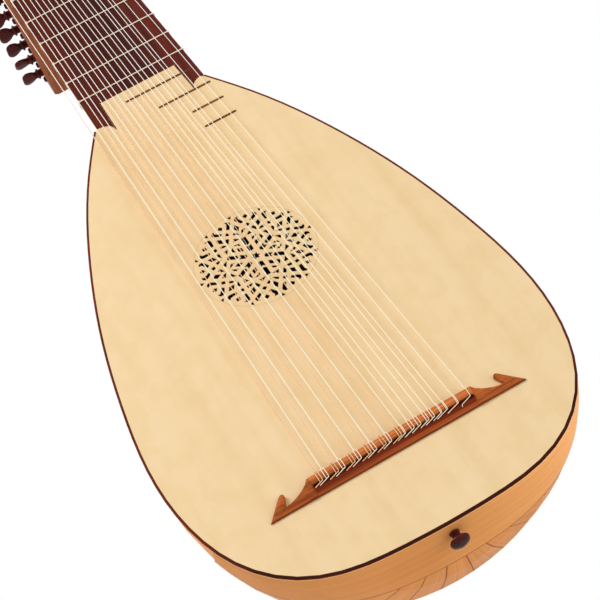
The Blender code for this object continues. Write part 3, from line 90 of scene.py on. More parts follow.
PEG_COLLAR = (0.0035, 0.0016, 0.0052)
PEG_NECK_RADIUS = 0.0034
PEG_HEAD = (0.0150, 0.0090, 0.0030)
PEG_HEAD_ANGLES = (78.0, 104.0, 90.0, 66.0, 98.0, 83.0, 115.0)
RIDER_PEG_SIGNS = (1, -1, -1)
STRING_CONVERGENCE = 3.4
RIDER_STRING_SHIFTS = (0.0, -0.0003, -0.0014)
NECK_JOINT_Y = 0.5771 * STRING_LENGTH
NECK_JOINT = (0.0013, 0.0490, 0.0300)
NECK_NUT = (NUT_CENTRE_X, NUT_HALF_WIDTH, 0.0205)
NECK_TAPER_POWER = 0.8
NECK_ROUND_POWER = 0.9
BOARD_DROP = 0.0021
TONGUE_END_Y = NECK_JOINT_Y + 0.0250
TONGUE_MARGINS = (0.0132, 0.0146)
BARB_REACH = (0.0125, 0.0087)
TIED_FRET_COUNT = 8
RIB_COUNT = 11
BODY_HALF_WIDTH = 0.1577
BOWL_RATIO = 0.9791
BOWL_RATIO_AT_NECK = 0.6138
BOWL_FULL_DEPTH_END_Y = 0.1857 * STRING_LENGTH
RIM_DROP = 0.0021
CLASP_HEIGHT = 0.0500
CLASP_END_HEIGHT = 0.0290
CLASP_HALF_REACH = 0.9258 * BODY_HALF_WIDTH

# Cords, knots and round pegs, which are drawn here alone
STRING_GAP = 0.0003
SHAFT_AT_STRING = 0.0036
RIDER_SHAFT_AT_STRING = 0.0034
TAIL_SLOPE = 0.23
ARC_STEPS = 6
COIL_TURNS = 3.25
COIL_STEPS = 14
COIL_PITCH_RADII = 2.15
TIED_FRET_RADIUS = 0.00052
FRET_GAP = 0.00012
FRET_ARC_STEPS = 32
FRET_KNOT_STEPS = 26
FRET_KNOT_STEPS_PER_TURN = 12
FRET_KNOT_RADIUS = 0.00075
PEG_SIDES = 28

# Strings from the bass side to the treble: place at the bridge and at the nut, radius and finish
STRINGS = (
    (-0.8955, -1.1552, 0.00036, "wound"), (-0.8197, -1.0267, 0.00033, "gut"),
    (-0.7000, -0.9224, 0.00036, "wound"), (-0.6182, -0.8352, 0.00033, "gut"),
    (-0.4955, -0.7261, 0.00034, "wound"), (-0.4182, -0.6364, 0.00033, "gut"),
    (-0.2970, -0.5394, 0.00034, "wound"), (-0.2288, -0.4448, 0.00033, "gut"),
    (-0.1121, -0.3382, 0.00034, "wound"), (-0.0394, -0.2436, 0.00033, "gut"),
    (0.0818, -0.1370, 0.00034, "wound"), (0.1424, -0.0448, 0.00031, "gut"),
    (0.2379, 0.0788, 0.00031, "gut"), (0.3212, 0.1539, 0.00031, "gut"),
    (0.4227, 0.2800, 0.00031, "gut"), (0.4939, 0.3406, 0.00031, "gut"),
    (0.5939, 0.4667, 0.00029, "gut"), (0.6652, 0.5224, 0.00029, "gut"),
    (0.8015, 0.6873, 0.00029, "gut"), (0.9576, 0.8618, 0.00027, "gut"),
)
# In mm, for each string: half the space between the strands of its loop, and how far its tail reaches
LOOP_HALF_SPACES_MM = (1.15, 1.15, 1.15, 1.2, 1.15, 1.2, 1.15, 1.15, 1.15, 1.0, 1.0, 0.42, 1.15, 1.15, 0.95,
                       0.95, 0.42, 0.42, 0.42, 0.0)
TAIL_REACHES_MM = (5.0, 6.2, 6.0, 6.4, 6.2, 6.0, 6.2, 6.2, 6.0, 6.0, 6.4, 6.6, 6.8, 6.4, 6.2, 6.6, 7.4, 9.0,
                   9.6, 8.2)

# Frets glued on the soundboard: number, and the X they run between
BODY_FRETS = ((9, -0.0156, 0.0351), (10, 0.0040, 0.0514), (11, 0.0244, 0.0527), (12, 0.0257, 0.0540))
NECK_FRET = (9, 0.0379, 0.0468)
BODY_FRET_WIDTH = 0.0018
BODY_FRET_HEIGHT = 0.0008
TONGUE_LINE_WIDTH = 0.0009
TONGUE_LINE_HEIGHT = 0.00012

# Light: name, place, aim, size in metres and watts of each lamp
LAMPS = (("key", (-1.3, 0.6, 1.9), (0.0, 0.0, 0.1), 1.1, 27.5),
         ("fill", (1.4, -1.6, 1.3), (0.0, -0.2, 0.1), 1.6, 13.5))
WORLD_STRENGTH = 0.53
WHITE = (1.0, 1.0, 1.0, 1.0)
FLOOR_HALF_SIZE = 6.0
FLOOR_DROP = 0.0006
FLOOR_COLOUR = (0.90, 0.90, 0.90, 1.0)

# Values of the finishes: colours, places and, in metres, radii and spacings; growth rings in radians a metre
PLAIN_SPECULAR = 0.10
GUT_SPECULAR = 0.75
RIB_LIGHT = (0.86, 0.360, 0.105)
RIB_DARK = (0.72, 0.275, 0.068)
RIB_TONE = 1.06
RIB_TONE_CHANGE = 0.05
RIB_ARC_RADIUS = 0.115
# Painted shade for the faces inside the bowl
BOWL_INSIDE_SHADE = (0.025, 0.012, 0.006)
BOWL_MIDDLE = (0.0, 0.05, 0.0)
GROWTH_RINGS = 4700.0
ROSE_RING_RADIUS = 0.0487
WINDING_PITCH = 0.00035


def lute_matrix():
    """The lute's own frame in the world."""
    return Matrix.Translation(LUTE_ORIGIN) @ Matrix.Rotation(TILT, 4, "X")


LUTE = lute_matrix()


def set_camera():
    """Camera that sees the lute as the photograph does."""
    data = bpy.data.cameras.new("photo_camera")
    data.lens = LENS_MM
    data.sensor_width = SENSOR_MM
    camera = bpy.data.objects.new("photo_camera", data)
    bpy.context.scene.collection.objects.link(camera)
    right, up, back = Vector(RIGHT), -Vector(DOWN), -Vector(FORWARD)
    turn = Matrix((right, up, back)).transposed().to_4x4()
    camera.matrix_world = LUTE @ Matrix.Translation(EYE) @ turn
    bpy.context.scene.camera = camera


def white_to_camera(nodes, links, lit, bright, output):
    """Shows the bright shader to the camera, to gloss and through glass, and the lit one to the rest."""
    path = nodes.new("ShaderNodeLightPath")
    either = nodes.new("ShaderNodeMath")
    either.operation = "MAXIMUM"
    links.new(path.outputs["Is Camera Ray"], either.inputs[0])
    links.new(path.outputs["Is Transmission Ray"], either.inputs[1])
    any_of = nodes.new("ShaderNodeMath")
    any_of.operation = "MAXIMUM"
    links.new(either.outputs[0], any_of.inputs[0])
    links.new(path.outputs["Is Glossy Ray"], any_of.inputs[1])
    mix = nodes.new("ShaderNodeMixShader")
    links.new(any_of.outputs[0], mix.inputs[0])
    links.new(lit, mix.inputs[1])
    links.new(bright, mix.inputs[2])
    links.new(mix.outputs[0], output)


def area_light(name, place, aim, size, power):
    """Square lamp at a place, turned toward its aim."""
    data = bpy.data.lights.new(name, "AREA")
    data.size = size
    data.energy = power
    lamp = bpy.data.objects.new(name, data)
    bpy.context.scene.collection.objects.link(lamp)
    lamp.location = place
    lamp.rotation_euler = (Vector(aim) - Vector(place)).to_track_quat("-Z", "Y").to_euler()


def set_light():
    """Soft white studio: an even world, a key lamp by the neck and a fill lamp by the tail."""
    scene = bpy.context.scene
    scene.view_settings.view_transform = "Standard"
    world = bpy.data.worlds.new("studio")
    world.use_nodes = True
    scene.world = world
    nodes = world.node_tree.nodes
    links = world.node_tree.links
    soft = nodes["Background"]
    soft.inputs["Color"].default_value = WHITE
    soft.inputs["Strength"].default_value = WORLD_STRENGTH
    seen = nodes.new("ShaderNodeBackground")
    seen.inputs["Color"].default_value = WHITE
    output = nodes["World Output"].inputs["Surface"]
    white_to_camera(nodes, links, soft.outputs[0], seen.outputs[0], output)
    for lamp in LAMPS:
        area_light(*lamp)


def set_floor():
    """Pale floor that catches soft shadows and shows as white."""
    mesh = bpy.data.meshes.new("floor")
    low = -FLOOR_DROP
    size = FLOOR_HALF_SIZE
    mesh.from_pydata([(-size, -size, low), (size, -size, low), (size, size, low), (-size, size, low)], [],
                     [(0, 1, 2, 3)])
    floor = bpy.data.objects.new("floor", mesh)
    bpy.context.scene.collection.objects.link(floor)
    made = bpy.data.materials.new("floor")
    made.use_nodes = True
    nodes = made.node_tree.nodes
    links = made.node_tree.links
    shader = nodes["Principled BSDF"]
    shader.inputs["Base Color"].default_value = FLOOR_COLOUR
    shader.inputs["Roughness"].default_value = 0.85
    glow = nodes.new("ShaderNodeEmission")
    output = nodes["Material Output"].inputs["Surface"]
    white_to_camera(nodes, links, shader.outputs[0], glow.outputs[0], output)
    mesh.materials.append(made)


class Finish:
    """A material's nodes, with the lute's own coordinates as their start."""

    def __init__(self, name, roughness):
        self.material = bpy.data.materials.new(name)
        self.material.use_nodes = True
        self.nodes = self.material.node_tree.nodes
        self.links = self.material.node_tree.links
        self.shader = self.nodes["Principled BSDF"]
        self.shader.inputs["Roughness"].default_value = roughness
        self.shader.inputs["Specular IOR Level"].default_value = PLAIN_SPECULAR
        place = self.nodes.new("ShaderNodeTexCoord")
        frame_of_lute = self.nodes.new("ShaderNodeMapping")
        frame_of_lute.vector_type = "TEXTURE"
        frame_of_lute.inputs["Location"].default_value = LUTE_ORIGIN
        frame_of_lute.inputs["Rotation"].default_value = (TILT, 0.0, 0.0)
        self.links.new(place.outputs["Object"], frame_of_lute.inputs["Vector"])
        self.place = frame_of_lute.outputs["Vector"]

    def fill(self, socket, value):
        """Sets a socket to a number or a colour, or links it to another node's socket."""
        if isinstance(value, bpy.types.NodeSocket):
            self.links.new(value, socket)
        elif isinstance(value, tuple) and socket.type == "RGBA":
            socket.default_value = (*value, 1.0)
        else:
            socket.default_value = value

    def axes(self):
        """The coordinates in the lute's own frame, one by one."""
        node = self.nodes.new("ShaderNodeSeparateXYZ")
        self.links.new(self.place, node.inputs[0])
        return node.outputs[0], node.outputs[1], node.outputs[2]

    def vector(self, x, y):
        node = self.nodes.new("ShaderNodeCombineXYZ")
        self.links.new(x, node.inputs[0])
        self.links.new(y, node.inputs[1])
        return node.outputs[0]

    def vector_math(self, operation, *values):
        node = self.nodes.new("ShaderNodeVectorMath")
        node.operation = operation
        for socket, value in zip(node.inputs, values):
            self.fill(socket, value)
        return node.outputs

    def scaled(self, scale, shift=(0.0, 0.0, 0.0), source=None):
        node = self.nodes.new("ShaderNodeMapping")
        node.inputs["Scale"].default_value = scale
        node.inputs["Location"].default_value = shift
        self.links.new(source or self.place, node.inputs["Vector"])
        return node.outputs["Vector"]

    def noise(self, vector, detail=4.0, rough=0.55, distortion=0.0):
        node = self.nodes.new("ShaderNodeTexNoise")
        node.inputs["Scale"].default_value = 1.0
        node.inputs["Detail"].default_value = detail
        node.inputs["Roughness"].default_value = rough
        node.inputs["Distortion"].default_value = distortion
        self.links.new(vector, node.inputs["Vector"])
        return node.outputs["Fac"]

    def math(self, operation, *values):
        node = self.nodes.new("ShaderNodeMath")
        node.operation = operation
        for socket, value in zip(node.inputs, values):
            self.fill(socket, value)
        return node.outputs[0]

    def product(self, first, *others):
        for other in others:
            first = self.math("MULTIPLY", first, other)
        return first

    def away_from(self, value, place):
        """How far a value lies from a place, on either side."""
        return self.math("ABSOLUTE", self.math("SUBTRACT", value, place))

    def spread(self, value, low, high, to_low=0.0, to_high=1.0):
        node = self.nodes.new("ShaderNodeMapRange")
        limits = {"From Min": low, "From Max": high, "To Min": to_low, "To Max": to_high}
        for name, number in limits.items():
            node.inputs[name].default_value = number
        self.links.new(value, node.inputs["Value"])
        return node.outputs["Result"]

    def fade(self, value, full, none, top=1.0):
        """Full up to one value, and nothing beyond the other."""
        return self.spread(value, full, none, top, 0.0)

    def ramp(self, value, stops):
        node = self.nodes.new("ShaderNodeValToRGB")
        rows = node.color_ramp.elements
        while len(rows) < len(stops):
            rows.new(0.5)
        for row, (position, colour) in zip(rows, stops):
            row.position = position
            row.color = (*colour, 1.0)
        self.links.new(value, node.inputs["Fac"])
        return node.outputs["Color"]

    def mix(self, kind, factor, first, second):
        node = self.nodes.new("ShaderNodeMix")
        node.data_type = "RGBA"
        node.blend_type = kind
        self.fill(node.inputs["Factor"], factor)
        self.fill(node.inputs["A"], first)
        self.fill(node.inputs["B"], second)
        return node.outputs["Result"]

    def tint(self, factor, colour, tone):
        return self.mix("MULTIPLY", factor, colour, tone)

    def colour(self, value):
        self.links.new(value, self.shader.inputs["Base Color"])

    def roughness(self, value, low, high, at_low, at_high):
        self.links.new(self.spread(value, low, high, at_low, at_high), self.shader.inputs["Roughness"])

    def bump(self, height, strength, distance):
        node = self.nodes.new("ShaderNodeBump")
        node.inputs["Strength"].default_value = strength
        node.inputs["Distance"].default_value = distance
        self.links.new(height, node.inputs["Height"])
        self.links.new(node.outputs["Normal"], self.shader.inputs["Normal"])

    def varnish(self, weight, roughness):
        self.shader.inputs["Coat Weight"].default_value = weight
        self.shader.inputs["Coat Roughness"].default_value = roughness


def round_bowl(finish):
    """Angle round the bowl, place in its round section, and coordinates that run along its ribs."""
    x, y, z = finish.axes()
    share = finish.spread(y, BOWL_FULL_DEPTH_END_Y, NECK_JOINT_Y)
    fall = finish.product(share, share, BOWL_RATIO - BOWL_RATIO_AT_NECK)
    down = finish.math("DIVIDE", z, finish.math("SUBTRACT", fall, BOWL_RATIO))
    angle = finish.math("ARCTAN2", x, down)
    along_ribs = finish.vector(finish.product(angle, RIB_ARC_RADIUS), y)
    return angle, finish.vector(x, down), along_ribs


def joint_lines(finish, colour, angle, section):
    """Reddish line where two ribs meet."""
    ribs_away = finish.math("ADD", finish.product(angle, RIB_COUNT / math.pi), RIB_COUNT / 2)
    off = finish.away_from(finish.math("FRACT", ribs_away), 0.5)
    radius = finish.vector_math("LENGTH", section)["Value"]
    from_joint = finish.product(finish.math("SUBTRACT", 0.5, off), math.pi / RIB_COUNT, radius)
    return finish.tint(finish.fade(from_joint, 0.0003, 0.0011, 0.75), colour, (0.62, 0.42, 0.38))


def painted_shade_inside(finish, colour):
    """Painted shade: dark colour on the faces that look toward the middle of the bowl, inside the closed body.
    """
    geometry = finish.nodes.new("ShaderNodeNewGeometry")
    away = finish.vector_math("SUBTRACT", geometry.outputs["Position"], LUTE @ Vector(BOWL_MIDDLE))["Vector"]
    turned = finish.vector_math("DOT_PRODUCT", geometry.outputs["Normal"], away)["Value"]
    return finish.mix("MIX", finish.math("LESS_THAN", turned, 0.0), colour, BOWL_INSIDE_SHADE)


def grained(name, light, dark, along, roughness=0.4, varnish=0.0, contrast=1.0, bump=0.15, seed=0.0,
            pores=0.15, polar=False, bowl=False, shade=None):
    """Wood with long fibres, pores and slow colour changes; along gives waves per metre on each axis."""
    finish = Finish(name, roughness)
    source = finish.place
    if polar:
        angle, section, source = round_bowl(finish)
    shift = (seed * 3.1, seed * 1.7, seed * 2.3)
    fibres = finish.noise(finish.scaled(along, shift, source), 5.0, 0.6, 0.3)
    slow = tuple(0.22 * a for a in along)
    figure = finish.noise(finish.scaled(slow, shift, source), 2.0, 0.5, 0.8)
    blotch = finish.noise(finish.scaled((14.0, 14.0, 14.0), shift), 2.0, 0.5)
    grain = finish.math("ADD", finish.product(fibres, 0.55), finish.product(figure, 0.45))
    half = 0.13 / contrast
    middle = tuple((a + b) / 2 for a, b in zip(light, dark))
    grain = finish.spread(grain, 0.5 - half, 0.5 + half)
    colour = finish.ramp(grain, ((0.0, dark), (0.45, middle), (1.0, light)))
    fine = tuple(3.1 * a for a in along)
    pits = finish.spread(finish.noise(finish.scaled(fine, shift, source), 2.0, 0.4), 0.60, 0.72)
    colour = finish.tint(finish.product(pits, pores), colour, tuple(0.45 * c + 0.05 for c in dark))
    tone = finish.ramp(blotch, ((0.3, (0.90, 0.88, 0.86)), (0.7, (1.0, 1.0, 1.0))))
    colour = finish.tint(0.8, colour, tone)
    if polar:
        colour = joint_lines(finish, colour, angle, section)
    if shade:
        colour = shade(finish, colour)
    # Painted shade on the faces inside the bowl.
    if bowl:
        colour = painted_shade_inside(finish, colour)
    finish.colour(colour)
    finish.roughness(blotch, 0.3, 0.7, roughness + 0.05, roughness - 0.05)
    height = finish.math("SUBTRACT", fibres, finish.product(pits, 0.6))
    finish.bump(height, bump, 0.0002)
    if varnish:
        finish.varnish(varnish, 0.18)
    return finish.material


def bridge_shade(finish, colour):
    """Painted shade on the apron behind the ridge, darkest in the hollow under it, with a paler bevel left out
    of that shade, a darker rear edge, and a painted highlight on the ridge's top.
    """
    x, y, z = finish.axes()
    x = finish.math("SUBTRACT", x, BRIDGE_CENTRE_X)
    y = finish.math("SUBTRACT", y, finish.product(x, math.tan(BRIDGE_SKEW)))
    foot = BRIDGE_FRONT_Y - BRIDGE_RIDGE_WIDTH
    bevel = BRIDGE_REAR_Y + BRIDGE_APRON_BEVEL
    half = BRIDGE_HALF_BLOCK
    inside = finish.fade(finish.math("ABSOLUTE", x), half - 0.0008, half + 0.0008)
    behind = finish.product(inside, finish.fade(y, foot - 0.0006, foot))
    apron = finish.product(behind, finish.spread(y, bevel - 0.0009, bevel - 0.0001))
    near = finish.fade(finish.away_from(y, foot + 0.0001), 0.0006, 0.0024)
    low = finish.fade(z, BRIDGE_HEIGHT - 0.0022, BRIDGE_HEIGHT - 0.0012)
    hollow = finish.product(near, low, inside)
    ridge = finish.product(finish.spread(z, BRIDGE_HEIGHT - 0.0014, BRIDGE_HEIGHT - 0.0003), inside)
    # Painted shade: darker behind the ridge, more so on the apron ahead of the bevel, darkest in the hollow
    # under the ridge.
    colour = finish.tint(behind, colour, (0.84, 0.70, 0.62))
    colour = finish.tint(apron, colour, (0.50, 0.30, 0.30))
    colour = finish.tint(hollow, colour, (0.22, 0.16, 0.20))
    # Darker along the rear edge.
    edge = finish.fade(y, BRIDGE_REAR_Y + 0.0003, BRIDGE_REAR_Y + 0.0009)
    colour = finish.tint(edge, colour, (0.50, 0.40, 0.40))
    # Painted highlight on the top of the ridge.
    return finish.tint(ridge, colour, (1.40, 1.65, 2.20))


def clasp_shade(finish, colour):
    """Slowly paler toward the treble end, with a painted highlight along the upper edge and a dark line along
    the lower one.
    """
    x, _, z = finish.axes()
    colour = finish.tint(finish.spread(x, -0.02, 0.11), colour, (1.40, 1.60, 1.85))
    rise = (CLASP_HEIGHT - CLASP_END_HEIGHT) / CLASP_HALF_REACH ** 2
    low = finish.product(x, x, rise)
    above = finish.math("SUBTRACT", finish.math("ADD", z, CLASP_HEIGHT), low)
    colour = finish.tint(finish.fade(above, 0.0004, 0.0011, 0.85), colour, (0.42, 0.28, 0.24))
    # Painted highlight: a pale band just under the binding.
    wear_and_painted_highlight = finish.spread(z, -RIM_DROP - 0.0016, -RIM_DROP - 0.0009)
    return finish.tint(wear_and_painted_highlight, colour, (1.20, 1.45, 1.85))


def fingerboard_shade(finish, colour):
    """Redder wood along both edges."""
    x, _, _ = finish.axes()
    off = finish.away_from(x, NUT_CENTRE_X)
    return finish.tint(finish.spread(off, 0.014, 0.036), colour, (1.65, 1.60, 1.40))


def binding_shade(finish, colour):
    """Painted shade round the tail, where the edge is seen from its shaded side."""
    _, y, _ = finish.axes()
    return finish.tint(finish.spread(y, 0.01, -0.05), colour, (0.30, 0.24, 0.30))


def spruce():
    """Fine even growth lines, silk across them, the knife line round the rose darkened partly by painted shade,
    a rubbed sheen, and painted shade on the faces under the top, in the rose's openings.
    """
    finish = Finish("soundboard_spruce", 0.5)
    wander = finish.noise(finish.scaled((9.0, 2.2, 9.0)), 1.0)
    x, y, z = finish.axes()
    across = finish.math("ADD", x, finish.product(wander, 0.012))
    rings = finish.math("SINE", finish.product(across, GROWTH_RINGS))
    lines = finish.spread(rings, 0.1, 1.0)
    fibres = finish.noise(finish.scaled((1500.0, 12.0, 400.0)), 3.0, 0.6)
    bands = finish.noise(finish.scaled((55.0, 1.4, 20.0)), 2.0, 0.5)
    colour = finish.ramp(bands, ((0.25, (0.875, 0.642, 0.362)), (0.5, (0.911, 0.688, 0.404)),
                                 (0.75, (0.931, 0.713, 0.430))))
    mottle = finish.noise(finish.scaled((52.0, 36.0, 40.0), (1.0, 3.0, 2.0)), 4.0, 0.6, 0.4)
    colour = finish.tint(finish.spread(mottle, 0.44, 0.60, 0.0, 0.8), colour, (0.968, 0.950, 0.895))
    colour = finish.tint(finish.product(lines, 0.35), colour, (0.93, 0.84, 0.72))
    colour = finish.tint(finish.spread(fibres, 0.35, 0.7, 0.0, 0.35), colour, (0.95, 0.90, 0.83))
    silk = finish.noise(finish.scaled((60.0, 420.0, 60.0)), 2.0, 0.5)
    colour = finish.tint(finish.spread(silk, 0.55, 0.75, 0.0, 0.25), colour, (0.96, 0.93, 0.88))
    wear_and_painted_highlight = finish.noise(finish.scaled((10.0, 8.0, 8.0), (2.0, 5.0, 1.0)), 3.0, 0.55)
    colour = finish.tint(finish.spread(wear_and_painted_highlight, 0.5, 0.8, 0.0, 0.5), colour, (0.95, 0.92, 0.86))
    from_rose = finish.vector(finish.math("SUBTRACT", x, ROSE_CENTRE[0]),
                              finish.math("SUBTRACT", y, ROSE_CENTRE[1]))
    reach = finish.vector_math("LENGTH", from_rose)["Value"]
    # The knife line: its darker colour is partly the wood's own and partly painted shade in the cut.
    groove = finish.fade(finish.away_from(reach, ROSE_RING_RADIUS), 0.00008, 0.00030)
    colour = finish.tint(finish.product(groove, 0.55), colour, (0.62, 0.42, 0.24))
    # Painted shade on the faces under the top, seen through the rose's openings.
    under = finish.fade(z, -0.00050, -0.00012)
    colour = finish.mix("MIX", finish.product(under, 0.75), colour, (0.055, 0.024, 0.010))
    finish.colour(colour)
    finish.roughness(wear_and_painted_highlight, 0.3, 0.75, 0.56, 0.44)
    relief = finish.math("SUBTRACT", finish.product(lines, 0.5), finish.product(groove, 5.0))
    relief = finish.math("ADD", relief, finish.product(fibres, 0.4))
    finish.bump(relief, 0.12, 0.0003)
    return finish.material


def painted_light_over_neck(finish, colour, pale):
    """Painted light: colour that goes over to a paler one beyond the body, so that the strings look lit
    brighter over the dark neck.
    """
    _, y, _ = finish.axes()
    return finish.mix("MIX", finish.spread(y, 0.36, 0.43, 0.0, 0.85), colour, pale)


def twisted(name, light, dark, turns_per_metre, roughness, pale=None):
    """Gut, with the slight twist and cloudiness of its strands."""
    finish = Finish(name, roughness)
    turns = (turns_per_metre, turns_per_metre * 0.25, turns_per_metre)
    fibres = finish.noise(finish.scaled(turns), 3.0, 0.6, 1.2)
    cloud = finish.noise(finish.scaled((60.0, 60.0, 60.0)), 2.0)
    colour = finish.ramp(fibres, ((0.35, dark), (0.65, light)))
    cloud_tone = tuple(0.9 * c + 0.08 for c in dark)
    colour = finish.tint(finish.spread(cloud, 0.45, 0.75, 0.0, 0.4), colour, cloud_tone)
    # Painted light: paler over the neck.
    if pale:
        colour = painted_light_over_neck(finish, colour, pale)
    finish.colour(colour)
    finish.roughness(fibres, 0.3, 0.7, roughness + 0.08, roughness - 0.06)
    finish.bump(fibres, 0.15, 0.0001)
    finish.shader.inputs["Specular IOR Level"].default_value = GUT_SPECULAR
    return finish.material


def wound(name):
    """Gut overspun with fine copper wire, seen as close rings."""
    finish = Finish(name, 0.32)
    _, y, _ = finish.axes()
    rings = finish.math("SINE", finish.product(y, 2 * math.pi / WINDING_PITCH))
    tarnish = finish.noise(finish.scaled((90.0, 30.0, 90.0)), 3.0)
    colour = finish.ramp(tarnish, ((0.3, (0.86, 0.52, 0.28)), (0.7, (0.97, 0.66, 0.39))))
    colour = finish.tint(finish.fade(rings, -1.0, 0.0, 0.35), colour, (0.74, 0.50, 0.36))
    # Painted light: paler over the neck.
    colour = painted_light_over_neck(finish, colour, (1.0, 0.90, 0.80))
    finish.colour(colour)
    finish.shader.inputs["Metallic"].default_value = 0.25
    finish.roughness(tarnish, 0.3, 0.7, 0.42, 0.28)
    finish.bump(rings, 0.3, 0.0001)
    return finish.material


def smooth_bone():
    """Old bone with fine veins and a little light under its surface."""
    finish = Finish("old_bone", 0.35)
    veins = finish.noise(finish.scaled((260.0, 900.0, 260.0)), 3.0)
    cloud = finish.noise(finish.scaled((70.0, 70.0, 70.0)), 2.0)
    colour = finish.ramp(cloud, ((0.3, (0.80, 0.72, 0.55)), (0.7, (0.88, 0.82, 0.68))))
    colour = finish.tint(finish.spread(veins, 0.58, 0.7, 0.0, 0.5), colour, (0.72, 0.58, 0.40))
    finish.colour(colour)
    finish.roughness(cloud, 0.3, 0.7, 0.42, 0.28)
    finish.bump(veins, 0.1, 0.0001)
    finish.shader.inputs["Subsurface Weight"].default_value = 0.12
    finish.shader.inputs["Subsurface Radius"].default_value = (0.0015, 0.0009, 0.0005)
    return finish.material


def rib_finish(number):
    """Maple of one rib, a little lighter or darker than its neighbours."""
    tone = RIB_TONE + RIB_TONE_CHANGE * math.sin(number * 2.4)
    light = tuple(c * tone for c in RIB_LIGHT)
    dark = tuple(c * tone for c in RIB_DARK)
    return grained(f"rib_{number:02d}_maple", light, dark, (430.0, 7.0, 430.0), 0.44, seed=10.0 + number,
                   pores=0.3, polar=True, bowl=True)


def set_materials():
    """Makes every finish, and gives each CAD node the one that its slot names."""
    along_neck = (420.0, 9.0, 420.0)
    across_neck = (40.0, 900.0, 900.0)
    made = {
        "soundboard": spruce(),
        "fingerboard": grained("fingerboard_rosewood", (0.105, 0.014, 0.008), (0.026, 0.004, 0.003), along_neck,
                               0.55, contrast=0.8, bump=0.25, pores=0.6, shade=fingerboard_shade),
        "body_fret": grained("fret_rosewood", (0.230, 0.080, 0.014), (0.120, 0.038, 0.007), across_neck, 0.50,
                             seed=9.0, pores=0.6),
        "neck_fret": grained("fret_plum", (0.170, 0.044, 0.024), (0.110, 0.025, 0.015), across_neck, 0.45,
                             seed=9.5, pores=0.4),
        "veneer": grained("neck_rosewood", (0.130, 0.030, 0.020), (0.055, 0.013, 0.009), along_neck, 0.34, 0.12,
                          seed=1.0, pores=0.7),
        "binding": grained("binding_rosewood", (0.190, 0.026, 0.006), (0.120, 0.016, 0.003),
                           (160.0, 160.0, 160.0), 0.70, seed=2.0, bump=0.1, shade=binding_shade),
        "bridge": grained("bridge_plum", (0.580, 0.145, 0.026), (0.200, 0.037, 0.006),
                          (11.0, 520.0, 520.0), 0.45, seed=3.0, pores=0.5, bump=0.2, shade=bridge_shade),
        "pegs": grained("peg_rosewood", (0.110, 0.014, 0.010), (0.040, 0.005, 0.004),
                        (12.0, 520.0, 520.0), 0.22, seed=4.0, pores=0.6, bump=0.1),
        "pegbox": grained("pegbox_plum", (0.420, 0.125, 0.036), (0.250, 0.062, 0.017),
                          (300.0, 300.0, 9.0), 0.38, 0.12, seed=5.0, pores=0.4, bump=0.12),
        "core_wood": grained("core_maple", (0.60, 0.38, 0.20), (0.50, 0.29, 0.14),
                             (260.0, 7.0, 260.0), 0.52, seed=6.0),
        "bars": grained("bar_spruce", (0.80, 0.59, 0.36), (0.68, 0.46, 0.26), (7.0, 420.0, 420.0), 0.6,
                        seed=7.0),
        "bone": smooth_bone(),
        "fret_gut": twisted("fret_gut", (1.0, 0.92, 0.76), (1.0, 0.84, 0.63), 900.0, 0.34),
        "string_gut": twisted("string_gut", (1.0, 0.95, 0.77), (1.0, 0.88, 0.65), 1500.0, 0.32,
                              pale=(1.0, 0.99, 0.93)),
        "ribs": grained("clasp_maple", RIB_LIGHT, RIB_DARK, (10.0, 10.0, 1300.0), 0.50, contrast=0.6, seed=8.0,
                        pores=0.2, bowl=True, shade=clasp_shade),
    }
    slots = {row["node"]: row["material_slot"] for row in frame["record"]["subparts"]}
    for name, obj in frame["nodes"].items():
        finish = rib_finish(int(name[-2:])) if name.startswith("rib_") else made[slots[name]]
        obj.data.materials.clear()
        obj.data.materials.append(finish)
    return made


def add_piece(name, data, finish, body):
    """Object that rides on a body."""
    data.materials.append(finish)
    obj = bpy.data.objects.new(name, data)
    bpy.context.scene.collection.objects.link(obj)
    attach(obj, body)
    return obj


def curve_piece(name, routes, radius, finish, body, resolution=3):
    """Round cords along routes in the lute's frame, as one curve object whose points carry the radius."""
    data = bpy.data.curves.new(name, "CURVE")
    data.dimensions = "3D"
    data.bevel_depth = 1.0
    data.bevel_resolution = resolution
    data.use_fill_caps = True
    for route in routes:
        line = data.splines.new("POLY")
        line.points.add(len(route) - 1)
        for spot, point in zip(line.points, route):
            spot.co = (*(LUTE @ Vector(point)), 1.0)
            spot.radius = radius
    return add_piece(name, data, finish, body)


def mesh_piece(name, verts, faces, finish, body, smooth_deg=30.0):
    """Mesh from points in the lute's frame, smooth but for its sharp edges."""
    mesh = bpy.data.meshes.new(name)
    mesh.from_pydata([tuple(LUTE @ Vector(v)) for v in verts], [], faces)
    mesh.shade_smooth()
    mesh.set_sharp_from_angle(angle=math.radians(smooth_deg))
    return add_piece(name, mesh, finish, body)


def skin(ring_size, ring_count):
    """Faces between rings of points, with both ends closed."""
    faces = []
    for ring in range(ring_count - 1):
        for k in range(ring_size):
            a = ring * ring_size + k
            b = ring * ring_size + (k + 1) % ring_size
            faces.append((a, b, b + ring_size, a + ring_size))
    last = (ring_count - 1) * ring_size
    return faces + [tuple(reversed(range(ring_size))), tuple(range(last, last + ring_size))]


def smooth_path(points, steps=5):
    """Rounds a path of corners into a flowing one that passes through them."""
    points = [Vector(p) for p in points]
    path = []
    for k in range(len(points) - 1):
        before = points[k - 1] if k else points[k]
        after = points[k + 2] if k + 2 < len(points) else points[k + 1]
        a, b = points[k], points[k + 1]
        for step in range(steps):
            t = step / steps
            path.append(0.5 * ((2 * a) + (b - before) * t + (2 * before - 5 * a + 4 * b - after) * t * t
                               + (3 * a - before - 3 * b + after) * t ** 3))
    return path + [points[-1]]


